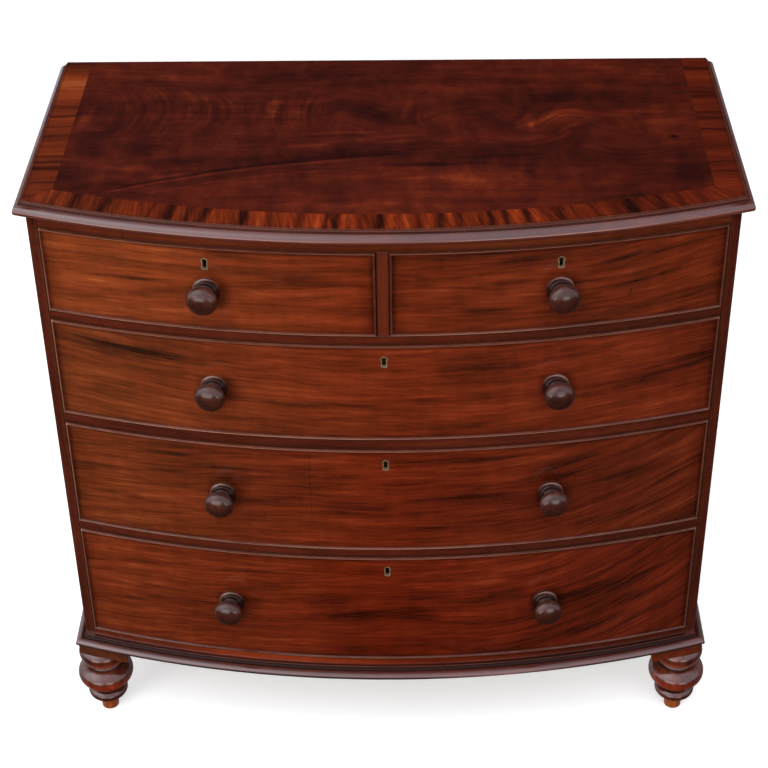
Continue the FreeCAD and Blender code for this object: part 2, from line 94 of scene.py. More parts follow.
def finish_group(name, split):
    """Geometry nodes: joins each solid's own faces along their edges, then shades smooth up to the split angle."""
    g = bpy.data.node_groups.new(name, "GeometryNodeTree")
    g.interface.new_socket("Geometry", in_out="INPUT", socket_type="NodeSocketGeometry")
    g.interface.new_socket("Geometry", in_out="OUTPUT", socket_type="NodeSocketGeometry")
    add = g.nodes.new
    gin, gout = add("NodeGroupInput"), add("NodeGroupOutput")
    drop = add("GeometryNodeRemoveAttribute")
    drop.inputs["Name"].default_value = "custom_normal"
    number = add("GeometryNodeInputNamedAttribute")
    number.data_type = "FLOAT"
    number.inputs["Name"].default_value = "solid"
    apart, back = add("ShaderNodeVectorMath"), add("ShaderNodeVectorMath")
    apart.operation = back.operation = "MULTIPLY"
    apart.inputs[1].default_value = (2.0, 0.0, 0.0)
    back.inputs[1].default_value = (-2.0, 0.0, 0.0)
    out_, in_ = add("GeometryNodeSetPosition"), add("GeometryNodeSetPosition")
    weld = add("GeometryNodeMergeByDistance")
    weld.inputs["Distance"].default_value = 8e-6
    smooth = add("GeometryNodeSetShadeSmooth")
    smooth.domain = "FACE"
    smooth.inputs["Shade Smooth"].default_value = True
    angle = add("GeometryNodeInputMeshEdgeAngle")
    over = add("FunctionNodeCompare")
    over.data_type = "FLOAT"
    over.operation = "GREATER_THAN"
    over.inputs["B"].default_value = math.radians(split)
    sharp = add("GeometryNodeSetShadeSmooth")
    sharp.domain = "EDGE"
    sharp.inputs["Shade Smooth"].default_value = False
    link = g.links.new
    link(gin.outputs[0], drop.inputs["Geometry"])
    link(number.outputs[0], apart.inputs[0])
    link(number.outputs[0], back.inputs[0])
    link(drop.outputs[0], out_.inputs["Geometry"])
    link(apart.outputs[0], out_.inputs["Offset"])
    link(out_.outputs[0], weld.inputs["Geometry"])
    link(weld.outputs[0], in_.inputs["Geometry"])
    link(back.outputs[0], in_.inputs["Offset"])
    link(in_.outputs[0], smooth.inputs["Geometry"])
    link(smooth.outputs[0], sharp.inputs["Geometry"])
    link(angle.outputs["Unsigned Angle"], over.inputs["A"])
    link(over.outputs["Result"], sharp.inputs["Selection"])
    link(sharp.outputs[0], gout.inputs[0])
    return g


def finish_mesh(name, split=32.0, arris=0.0, limit=40.0, segments=2):
    """Smooth shading on a node's curved faces, and worn arrises on its edges."""
    o = NODES[name]
    key = "joined_%d" % int(split)
    group = bpy.data.node_groups.get(key) or finish_group(key, split)
    m = o.modifiers.new("joined", "NODES")
    m.node_group = group
    if arris:
        b = o.modifiers.new("arris", "BEVEL")
        b.width = arris
        b.segments = segments
        b.limit_method = "ANGLE"
        b.angle_limit = math.radians(limit)
        b.harden_normals = True
        b.use_clamp_overlap = True
    return o


# ---------------------------------------------------------------- materials
def lin(r, g, b):
    """A colour as seen, 0 to 255, as linear numbers."""
    def f(c):
        c /= 255.0
        return c / 12.92 if c <= 0.04045 else ((c + 0.055) / 1.055) ** 2.4
    return (f(r), f(g), f(b), 1.0)


class Surface:
    """One material's nodes, with a short call for each kind it uses."""

    def __init__(self, name):
        self.mat = bpy.data.materials.new(name)
        self.mat.use_nodes = True
        self.nt = self.mat.node_tree
        self.nt.nodes.clear()
        self.out = self.nt.nodes.new("ShaderNodeOutputMaterial")
        self.bsdf = self.nt.nodes.new("ShaderNodeBsdfPrincipled")
        self.nt.links.new(self.bsdf.outputs[0], self.out.inputs[0])
        tc = self.nt.nodes.new("ShaderNodeTexCoord")
        self.obj, self.nrm = tc.outputs["Object"], tc.outputs["Normal"]

    def put(self, node, key, value):
        if value is None:
            return
        if isinstance(value, bpy.types.NodeSocket):
            self.nt.links.new(value, node.inputs[key])
        else:
            node.inputs[key].default_value = value

    def math(self, op, a, b=None, c=None, clamp=False):
        n = self.nt.nodes.new("ShaderNodeMath")
        n.operation = op
        n.use_clamp = clamp
        self.put(n, 0, a)
        self.put(n, 1, b)
        self.put(n, 2, c)
        return n.outputs[0]

    def add(self, a, b):
        return self.math("ADD", a, b)

    def sub(self, a, b):
        return self.math("SUBTRACT", a, b)

    def mul(self, a, b):
        return self.math("MULTIPLY", a, b)

    def madd(self, a, b, c, clamp=False):
        return self.math("MULTIPLY_ADD", a, b, c, clamp)

    def vmath(self, op, a, b=None, key="Vector"):
        n = self.nt.nodes.new("ShaderNodeVectorMath")
        n.operation = op
        self.put(n, 0, a)
        self.put(n, 1, b)
        return n.outputs[key]

    def split(self, v):
        n = self.nt.nodes.new("ShaderNodeSeparateXYZ")
        self.put(n, 0, v)
        return n.outputs[0], n.outputs[1], n.outputs[2]

    def join(self, x, y, z):
        n = self.nt.nodes.new("ShaderNodeCombineXYZ")
        for i, c in enumerate((x, y, z)):
            self.put(n, i, c)
        return n.outputs[0]

    def attr(self, name, key="Vector"):
        n = self.nt.nodes.new("ShaderNodeAttribute")
        n.attribute_name = name
        return n.outputs[key]

    def noise(self, v, detail=2.0, rough=0.5, distort=0.0, scale=1.0, key="Fac"):
        n = self.nt.nodes.new("ShaderNodeTexNoise")
        n.noise_dimensions = "3D"
        self.put(n, "Vector", v)
        self.put(n, "Scale", scale)
        self.put(n, "Detail", detail)
        self.put(n, "Roughness", rough)
        self.put(n, "Distortion", distort)
        return n.outputs[key]

    def cells(self, v, key="Color", scale=1.0, feature="F1"):
        n = self.nt.nodes.new("ShaderNodeTexVoronoi")
        n.feature = feature
        self.put(n, "Vector", v)
        self.put(n, "Scale", scale)
        return n.outputs[key]

    def scaled(self, v, scale, seed=0.0):
        """Stretches a position along its axes, per metre, and moves it to another part of the pattern."""
        n = self.nt.nodes.new("ShaderNodeVectorMath")
        n.operation = "MULTIPLY_ADD"
        self.put(n, 0, v)
        n.inputs[1].default_value = scale
        n.inputs[2].default_value = (seed * 7.31, seed * 3.77 + 1.3, seed * 5.19 + 2.1)
        return n.outputs[0]

    def remap(self, v, a, b, c=0.0, d=1.0, smooth=False):
        n = self.nt.nodes.new("ShaderNodeMapRange")
        n.interpolation_type = "SMOOTHSTEP" if smooth else "LINEAR"
        self.put(n, "Value", v)
        self.put(n, "From Min", a)
        self.put(n, "From Max", b)
        self.put(n, "To Min", c)
        self.put(n, "To Max", d)
        return n.outputs[0]

    def ramp(self, v, stops, easy=False):
        n = self.nt.nodes.new("ShaderNodeValToRGB")
        n.color_ramp.interpolation = "EASE" if easy else "LINEAR"
        el = n.color_ramp.elements
        while len(el) < len(stops):
            el.new(0.5)
        for e, (p, c) in zip(el, stops):
            e.position = p
        for e, (p, c) in zip(el, stops):
            e.color = c if len(c) == 4 else (*c, 1.0)
        self.put(n, 0, v)
        return n.outputs[0]

    def mix(self, f, a, b, mode="MIX"):
        n = self.nt.nodes.new("ShaderNodeMix")
        n.data_type = "RGBA"
        n.blend_type = mode
        n.clamp_factor = True
        self.put(n, 0, f)
        self.put(n, 6, a)
        self.put(n, 7, b)
        return n.outputs[2]

    def blob(self, v, cx, cy, sx, sy, turn=0.0):
        """1 at a place on the surface, falling to 0 at an ellipse about it. v holds the two surface directions first."""
        n = self.nt.nodes.new("ShaderNodeMapping")
        n.vector_type = "TEXTURE"
        self.put(n, 0, v)
        n.inputs["Location"].default_value = (cx, cy, 0.0)
        n.inputs["Rotation"].default_value = (0.0, 0.0, math.radians(turn))
        n.inputs["Scale"].default_value = (sx, sy, 1e4)
        r = self.vmath("LENGTH", n.outputs[0], key="Value")
        return self.remap(r, 0.0, 1.0, 1.0, 0.0, smooth=True)

    def blobs(self, v, items):
        """The dark ones and the light ones of a list of (x, y, half length, half height, turn, amount)."""
        dark, light = None, None
        for (x, y, sx, sy, turn, k) in items:
            b = self.mul(self.blob(v, x, y, sx * 1.35, sy * 1.5, turn), abs(k))
            if k < 0:
                dark = b if dark is None else self.math("MAXIMUM", dark, b)
            else:
                light = b if light is None else self.math("MAXIMUM", light, b)
        return dark, light

    def twirl(self, v, cx, cy, radius, turn):
        """Turns the pattern about a place, most at its centre."""
        m = self.blob(v, cx, cy, radius, radius)
        n = self.nt.nodes.new("ShaderNodeVectorRotate")
        n.rotation_type = "Z_AXIS"
        self.put(n, "Vector", v)
        n.inputs["Center"].default_value = (cx, cy, 0.0)
        self.put(n, "Angle", self.mul(m, turn))
        return n.outputs[0]

    def bump(self, h, strength, distance, normal=None):
        n = self.nt.nodes.new("ShaderNodeBump")
        n.inputs["Strength"].default_value = strength
        n.inputs["Distance"].default_value = distance
        self.put(n, "Height", h)
        self.put(n, "Normal", normal)
        return n.outputs[0]

    def occlusion(self, distance, inside=False, samples=6):
        n = self.nt.nodes.new("ShaderNodeAmbientOcclusion")
        n.samples = samples
        n.inside = inside
        n.only_local = True
        n.inputs["Distance"].default_value = distance
        return n.outputs["AO"]

    def set(self, color=None, rough=None, normal=None, coat_normal=None, **fixed):
        b = self.bsdf
        self.put(b, "Base Color", color)
        self.put(b, "Roughness", rough)
        self.put(b, "Normal", normal)
        self.put(b, "Coat Normal", coat_normal)
        for k, v in fixed.items():
            b.inputs[k.replace("_", " ")].default_value = v
        return self.mat

    # positions in the wood: along the grain, across it, and into it
    def grain_x(self, bow=False):
        x, y, z = self.split(self.obj)
        d = y
        if bow:
            d = self.sub(y, self.madd(self.mul(x, x), 0.5 / R_BOW, APEX))
        return self.join(x, z, d)

    def grain_z(self):
        x, y, z = self.split(self.obj)
        return self.join(z, x, y)

    def grain_y(self):
        x, y, z = self.split(self.obj)
        return self.join(y, x, z)

    def grain_flat(self):
        """Grain along X on a level surface."""
        x, y, z = self.split(self.obj)
        return self.join(x, y, z)

    def grain_board(self):
        """Grain as each solid was marked, and the solid's number."""
        a = self.attr("grain")
        ax, ay, az = self.split(a)
        b = self.join(self.add(az, ay), 0.0, ax)
        c = self.join(0.0, self.add(ax, az), ay)
        along = self.vmath("DOT_PRODUCT", self.obj, a, key="Value")
        over = self.vmath("DOT_PRODUCT", self.obj, b, key="Value")
        deep = self.vmath("DOT_PRODUCT", self.obj, c, key="Value")
        n = self.attr("solid", "Fac")
        return self.add_seed(self.join(along, over, deep), n), n

    def add_seed(self, v, n):
        k = self.nt.nodes.new("ShaderNodeVectorMath")
        k.operation = "MULTIPLY_ADD"
        self.put(k, 0, self.join(n, n, n))
        k.inputs[1].default_value = (3.37, 1.91, 2.63)
        self.put(k, 2, v)
        return k.outputs[0]


def give(name, mat):
    o = NODES[name]
    if not o.material_slots:
        o.data.materials.append(mat)
    for s in o.material_slots:
        s.link = "OBJECT"
        s.material = mat


def centred(s, n, k):
    """A pattern as a change of tone about 0."""
    return s.madd(n, k, -0.5 * k)


def tone_sum(s, base, *parts):
    t = base
    for n, k in parts:
        t = s.add(t, centred(s, n, k))
    return t


def stripes(s, u, items):
    """Sum of narrow bands lying across u, each given as (centre, half width, amount)."""
    uuu = s.join(u, u, u)
    total = None
    for i in range(0, len(items), 3):
        g = list(items[i:i + 3])
        while len(g) < 3:
            g.append((9.0, 0.01, 0.0))
        n = s.nt.nodes.new("ShaderNodeVectorMath")
        n.operation = "MULTIPLY_ADD"
        s.put(n, 0, uuu)
        n.inputs[1].default_value = tuple(1.0 / w for (c, w, k) in g)
        n.inputs[2].default_value = tuple(-c / w for (c, w, k) in g)
        a = s.vmath("ABSOLUTE", n.outputs[0])
        b = s.vmath("MAXIMUM", s.vmath("SUBTRACT", (1.0, 1.0, 1.0), a), (0.0, 0.0, 0.0))
        d = s.vmath("DOT_PRODUCT", b, tuple(k for (c, w, k) in g), key="Value")
        total = d if total is None else s.add(total, d)
    return total


def polish(s, v, seed, fine, rough=(0.24, 0.36), grain_bump=0.10, wave=0.08):
    """French polish: a film over the wood, filled grain just showing, the surface a little uneven."""
    pore = s.noise(s.scaled(v, (42.0, 900.0, 900.0), seed + 4), 2.0, 0.6)
    h = s.add(s.mul(fine, 0.5), s.mul(pore, 0.7))
    normal = s.bump(h, grain_bump, 0.0006)
    rub = s.noise(s.scaled(s.obj, (9.0, 9.0, 9.0), seed + 9), 3.0, 0.6)
    uneven = s.noise(s.scaled(v, (16.0, 34.0, 30.0), seed + 6), 2.0, 0.5)
    film = s.bump(s.add(uneven, s.mul(fine, 0.12)), wave, 0.0012)
    r = s.remap(rub, 0.3, 0.7, rough[0], rough[1])
    return normal, film, r, pore


# Tones of the wood, dark to light
FRONT_TONES = [(0.0, lin(44, 15, 7)), (0.16, lin(66, 24, 10)), (0.32, lin(88, 33, 14)), (0.5, lin(110, 41, 18)),
               (0.68, lin(128, 51, 24)), (0.84, lin(146, 64, 31)), (1.0, lin(168, 82, 42))]
TOP_TONES = [(0.0, lin(32, 11, 9)), (0.2, lin(46, 15, 12)), (0.4, lin(64, 21, 14)), (0.55, lin(77, 26, 16)),
             (0.7, lin(92, 33, 19)), (0.86, lin(114, 45, 23)), (1.0, lin(140, 60, 28))]
BAND_TONES = [(0.0, lin(36, 12, 7)), (0.2, lin(58, 19, 10)), (0.4, lin(84, 28, 12)), (0.58, lin(108, 37, 15)),
              (0.74, lin(126, 46, 18)), (0.88, lin(146, 60, 28)), (1.0, lin(166, 76, 36))]
RAIL_TONES = [(0.0, lin(34, 12, 7)), (0.25, lin(56, 21, 12)), (0.5, lin(78, 30, 17)), (0.75, lin(100, 40, 21)),
              (1.0, lin(128, 56, 28))]
SIDE_TONES = [(0.0, lin(38, 14, 8)), (0.3, lin(62, 23, 13)), (0.5, lin(84, 32, 17)), (0.72, lin(106, 43, 22)),
              (1.0, lin(134, 60, 30))]
DARK_TONES = [(0.0, lin(30, 12, 8)), (0.3, lin(50, 20, 14)), (0.55, lin(70, 29, 20)), (0.8, lin(92, 40, 26)),
              (1.0, lin(116, 54, 34))]

# Figure of each drawer front: (x, z, half length, half height, turn, amount), dark below 0
FIGURE = {
    "short_left": [
        (-.426, .886, .060, .022, 6, .50), (-.442, .938, .034, .010, 0, .35), (-.146, .891, .070, .005, 2, .45),
        (-.182, .852, .130, .018, 0, .30), (-.134, .909, .085, .012, 3, -.75), (-.164, .875, .050, .005, 0, -.45),
        (-.342, .898, .090, .004, 4, -.40), (-.209, .950, .045, .007, 0, -.45), (-.350, .926, .080, .004, 3, -.35),
        (-.240, .870, .030, .012, 0, -.20), (-.430, .866, .050, .008, 0, .35), (-.300, .882, .070, .006, 2, -.30)],
    "short_right": [
        (.055, .913, .022, .011, 0, -.55), (.118, .923, .050, .008, 4, -.55), (.156, .900, .065, .009, 3, -.65),
        (.378, .896, .062, .017, 12, -.55), (.324, .925, .034, .008, 12, -.50), (.164, .862, .055, .004, 0, -.45),
        (.390, .930, .080, .006, 12, -.40), (.203, .894, .035, .007, 5, .45), (.025, .860, .020, .030, 0, .35),
        (.450, .890, .020, .030, 0, .20), (.360, .868, .060, .006, 6, .25), (.26, .845, .10, .008, 2, -.25),
        (.352, .872, .012, .0014, 80, -.60), (.352, .900, .009, .0012, 72, -.40), (.057, .914, .007, .004, 0, -.50),
        (.200, .940, .060, .004, 2, -.35), (.100, .885, .060, .006, 2, -.35)],
    "upper_long": [
        (-.370, .774, .130, .013, -6, -.75), (-.377, .763, .055, .011, -6, -.50), (-.327, .738, .055, .007, -4, -.40),
        (-.140, .750, .095, .015, -7, -.60), (.139, .764, .075, .018, 5, -.50), (.068, .709, .028, .007, 0, -.55),
        (.454, .745, .050, .035, 12, -.55), (.378, .717, .100, .010, 8, -.45), (.157, .715, .055, .007, 3, -.45),
        (-.138, .701, .085, .006, -3, -.40), (-.456, .698, .030, .020, 0, .35), (-.189, .722, .055, .008, -3, .35),
        (.333, .780, .095, .008, 6, .45), (.383, .747, .032, .007, 0, .45), (.062, .728, .055, .007, 0, .40),
        (-.300, .676, .160, .010, -1, .20), (.26, .672, .14, .008, 2, .18), (-.020, .698, .060, .005, -2, -.35)],
    "middle_long": [
        (-.343, .592, .080, .005, -3, -.50), (-.259, .603, .090, .005, -2, -.45), (-.385, .496, .105, .008, -4, -.50),
        (-.034, .510, .070, .020, 0, -.55), (-.246, .563, .050, .018, 0, -.55), (.104, .597, .100, .010, 2, -.55),
        (.244, .560, .050, .014, 0, -.50), (.267, .578, .075, .008, 6, -.40), (.105, .528, .125, .010, 3, -.40),
        (.351, .542, .100, .012, 12, -.55), (.389, .473, .085, .008, 18, -.45), (.322, .462, .060, .008, 15, -.45),
        (.089, .465, .085, .008, 0, -.40), (.450, .505, .050, .010, 18, -.40), (-.221, .587, .062, .004, -2, .60),
        (-.288, .571, .062, .004, -3, .40), (-.416, .537, .042, .018, -4, .35), (-.218, .465, .085, .010, 0, .35),
        (-.017, .561, .032, .005, 0, .35), (.173, .557, .055, .009, 4, .60), (.457, .562, .022, .030, 0, .20),
        (.172, .447, .065, .005, 0, .30), (-.180, .515, .070, .007, -2, -.35), (.040, .500, .050, .008, 0, -.35)],
    "bottom_long": [
        (-.387, .295, .095, .008, -4, -.50), (-.298, .297, .060, .006, -2, -.35), (-.089, .319, .042, .016, 0, -.55),
        (-.056, .288, .062, .010, 4, -.55), (.141, .320, .085, .012, 4, -.60), (.039, .293, .042, .016, 0, -.55),
        (.323, .314, .085, .014, 10, -.60), (.384, .284, .105, .012, 18, -.60), (.422, .251, .062, .007, 22, -.45),
        (.317, .236, .085, .010, 14, -.50), (.073, .329, .052, .010, 5, -.45), (.459, .371, .040, .006, 25, -.40),
        (.400, .332, .072, .005, 20, -.40), (-.362, .373, .065, .006, -3, .30), (-.230, .380, .062, .004, -2, .60),
        (-.421, .315, .042, .014, -4, .40), (-.109, .341, .042, .010, 0, .35), (.190, .374, .055, .009, 6, .60),
        (.150, .356, .042, .006, 5, .50), (.433, .351, .032, .018, 0, .20), (-.286, .219, .160, .014, 0, .22),
        (-.332, .352, .012, .0014, 70, -.60), (-.205, .308, .009, .0016, 85, -.50), (-.118, .312, .010, .0020, 85, -.55),
        (-.100, .308, .009, .0016, 80, -.50), (.225, .312, .010, .0012, 80, -.45)],
}
FLARE = {"short_left": 0.0, "short_right": 0.35, "upper_long": 0.30, "middle_long": 1.1, "bottom_long": 1.5}
LEAN = {"short_left": 0.02, "short_right": 0.0, "upper_long": -0.07, "middle_long": 0.05, "bottom_long": 0.05}
# Tint at the left end, the middle and the right end of each front, as half of a multiplier
TINT = {
    "short_left": ((.60, .79, .70), (.47, .44, .40), (.47, .44, .40)),
    "short_right": ((.42, .41, .40), (.45, .44, .40), (.43, .42, .42)),
    "upper_long": ((.50, .70, .66), (.50, .46, .42), (.44, .40, .42)),
    "middle_long": ((.50, .64, .59), (.42, .32, .28), (.36, .35, .38)),
    "bottom_long": ((.49, .53, .48), (.36, .225, .17), (.40, .33, .36)),
}


# How strongly the clouds and the lines show on each front
GAIN = {"short_left": (1.0, 1.0), "short_right": (1.9, 1.2), "upper_long": (1.2, 1.1), "middle_long": (1.15, 1.2),
        "bottom_long": (1.15, 1.35)}


def drawer_front(name, seed):
    s = Surface("mahogany_" + name)
    lo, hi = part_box(name + "_front")
    v0 = s.grain_x(bow=True)
    x, z, d = s.split(v0)
    # the figure sweeps up towards the right on the lower drawers
    right = s.math("MAXIMUM", s.sub(x, 0.12), 0.0)
    left = s.math("MINIMUM", s.add(x, 0.10), 0.0)
    z2 = s.sub(z, s.mul(s.mul(right, right), 0.65 * FLARE[name]))
    z2 = s.sub(z2, s.mul(left, LEAN[name]))
    wander = s.noise(s.scaled(v0, (3.4, 9.0, 6.0), seed), 3.0, 0.5)
    v = s.join(x, s.madd(s.sub(wander, 0.5), 0.026, z2), d)
    smoke = s.noise(s.scaled(v, (2.2, 14.0, 10.0), seed), 2.0, 0.5)
    streak = s.noise(s.scaled(v, (6.0, 62.0, 40.0), seed + 1), 2.0, 0.55)
    line = s.noise(s.scaled(v, (11.0, 170.0, 90.0), seed + 2), 2.0, 0.6)
    fine = s.noise(s.scaled(v, (26.0, 460.0, 200.0), seed + 3), 2.0, 0.6)
    mottle = s.noise(s.scaled(v, (64.0, 20.0, 12.0), seed + 4), 2.0, 0.55)
    wisp = s.noise(s.scaled(v, (7.5, 95.0, 50.0), seed + 5), 3.0, 0.6)
    surf = s.join(s.madd(s.sub(wander, 0.5), 0.03, x), s.madd(s.sub(streak, 0.5), 0.010, z), 0.0)
    dark, light = s.blobs(surf, FIGURE[name])
    cloudy, lined = GAIN[name]
    t = tone_sum(s, 0.5, (smoke, 0.40 * cloudy), (streak, 0.72), (line, 0.58 * lined), (fine, 0.42 * lined),
                 (mottle, 0.22))
    t = s.sub(t, s.mul(s.mul(dark, s.remap(wisp, 0.38, 0.62, 0.35, 1.25)), 0.54))
    t = s.add(t, s.mul(s.mul(light, s.remap(wisp, 0.62, 0.38, 0.25, 1.25)), 0.32))
    if name == "middle_long":
        # a joint in the facing veneer
        seam = s.mul(stripes(s, x, [(-0.1135, 0.0014, 1.0)]), s.remap(z, 0.484, 0.500, smooth=True))
        t = s.sub(t, s.mul(seam, 0.16))
    col = s.ramp(t, FRONT_TONES)
    # yellower to the left, redder and deeper downwards and to the right
    a, b, c = TINT[name]
    where = s.remap(s.add(x, centred(s, smoke, 0.25)), -0.46, 0.46)
    tint = s.ramp(where, [(0.05, a), (0.5, b), (0.95, c)])
    col = s.vmath("MULTIPLY", s.vmath("MULTIPLY", col, tint), (2.0, 2.0, 2.0))
    normal, film, rough, pore = polish(s, v, seed, fine)
    dots = s.remap(pore, 0.58, 0.72, 0.0, 0.42)
    col = s.mix(dots, col, lin(34, 12, 6))
    # painted shade, with some dirt, along the beads, and a wider band of it towards the ends
    ex = s.math("MINIMUM", s.sub(x, float(lo.x)), s.sub(float(hi.x), x))
    ez = s.math("MINIMUM", s.sub(z, float(lo.z)), s.sub(float(hi.z), z))
    near = s.math("MINIMUM", ex, s.mul(ez, 1.25))
    near = s.add(near, centred(s, smoke, 0.006))
    grime_and_shade = s.remap(near, 0.0035, 0.0120, 0.60, 0.0, smooth=True)
    end_grime_and_shade = s.mul(s.remap(ex, 0.004, 0.034, 0.42, 0.0, smooth=True), s.remap(smoke, 0.35, 0.6, 0.5, 1.0))
    col = s.mix(grime_and_shade, col, s.mix(1.0, col, lin(120, 92, 84), "MULTIPLY"))
    col = s.mix(end_grime_and_shade, col, s.mix(1.0, col, lin(150, 130, 122), "MULTIPLY"))
    # painted shadow round the knob
    turn = s.math("ABSOLUTE", s.sub(s.math("ABSOLUTE", s.sub(x, 0.004)), 0.247))
    knob_z = min(KNOB_Z, key=lambda k: abs(k - 0.5 * float(lo.z + hi.z)))
    ring = s.vmath("LENGTH", s.join(turn, s.sub(z, knob_z - 0.003), 0.0), key="Value")
    ring = s.add(ring, centred(s, smoke, 0.010))
    painted_knob_shadow = s.remap(ring, 0.018, 0.036, 0.62, 0.0, smooth=True)
    col = s.mix(painted_knob_shadow, col, s.mix(1.0, col, lin(128, 104, 96), "MULTIPLY"))
    # painted shade: the inside of the keyhole is painted black, and its coat is turned down
    lo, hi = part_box(name + "_escutcheon")
    spot = s.vmath("LENGTH", s.join(s.sub(x, 0.5 * float(lo.x + hi.x)), s.sub(z, 0.5 * float(lo.z + hi.z)), 0.0), key="Value")
    inside = s.mul(s.remap(spot, 0.0088, 0.0082), s.remap(d, 0.0004, 0.0012))
    col = s.mix(inside, col, lin(8, 4, 3))
    s.put(s.bsdf, "Coat Weight", s.remap(inside, 0.0, 1.0, 0.65, 0.05))
    return s.set(col, rough, normal, film, Coat_Roughness=0.17, Coat_IOR=1.9, Specular_IOR_Level=0.05)


TOP_FIGURE = [
    # dark
    (-.022, .088, .070, .026, -38, -.80), (-.062, .108, .030, .020, 0, -.40), (.160, .070, .068, .024, -55, -.75),
    (.128, .100, .030, .034, 0, -.45), (.255, .133, .058, .018, 8, -.60), (.205, .085, .034, .010, 75, -.50),
    (.190, -.020, .070, .022, 10, -.60), (.150, -.052, .095, .008, 4, -.60), (.302, .045, .036, .017, 30, -.45),
    (-.400, .050, .040, .016, 62, -.50), (-.352, -.020, .050, .024, 0, -.50), (-.420, -.030, .045, .022, 0, -.40),
    (-.450, -.100, .034, .044, 0, -.70), (-.430, -.132, .050, .014, 10, -.50), (-.300, -.060, .085, .018, 5, -.45),
    (-.140, -.048, .150, .014, 9, -.45), (.070, -.071, .090, .006, 2, -.75), (.440, -.110, .045, .030, 10, -.60),
    (.350, -.132, .100, .013, 15, -.35), (.340, -.166, .065, .008, 12, -.50), (.200, -.172, .060, .010, 5, -.35),
    (-.060, -.170, .060, .008, 0, -.50), (.056, .152, .008, .0035, -12, -.90), (.4265, .009, .0070, .0065, 0, -1.5),
    (.150, .246, .030, .008, 0, -.35), (.220, .232, .130, .010, 0, -.30), (-.120, -.100, .006, .020, 12, -.30),
    (.208, -.098, .010, .014, 0, -.50), (.320, .044, .008, .004, 0, -.60), (-.080, .015, .050, .006, 6, -.30),
    # light
    (-.168, .105, .056, .011, 82, .65), (-.134, .084, .050, .018, 85, .35), (-.140, .163, .034, .007, 24, .45),
    (.000, .008, .090, .008, 8, .55), (.048, .003, .052, .006, 10, .50), (-.100, -.012, .062, .006, 9, .45),
    (-.050, .024, .060, .006, 4, .35), (.2150, .055, .036, .0095, 98, .80), (.262, .074, .046, .020, 25, .60),
    (.284, .054, .030, .010, 50, .50), (.224, .010, .018, .010, 0, .50), (.245, .000, .034, .008, 20, .35),
    (.300, -.022, .070, .020, 10, .34), (.130, .000, .055, .018, 0, .25), (-.446, .072, .042, .013, 84, .45),
    (-.430, .034, .022, .011, 30, .30), (-.360, -.076, .032, .011, 5, .40), (-.295, -.099, .034, .005, 12, .50),
    (-.230, -.020, .080, .009, 6, .26), (.050, -.108, .170, .012, 1, .26), (-.225, -.140, .120, .018, 12, .20),
    (.380, .090, .070, .011, 10, .30), (.402, .060, .062, .009, 15, .26), (.060, .170, .160, .012, 0, .14),
    (-.300, .215, .160, .012, 0, .16)]


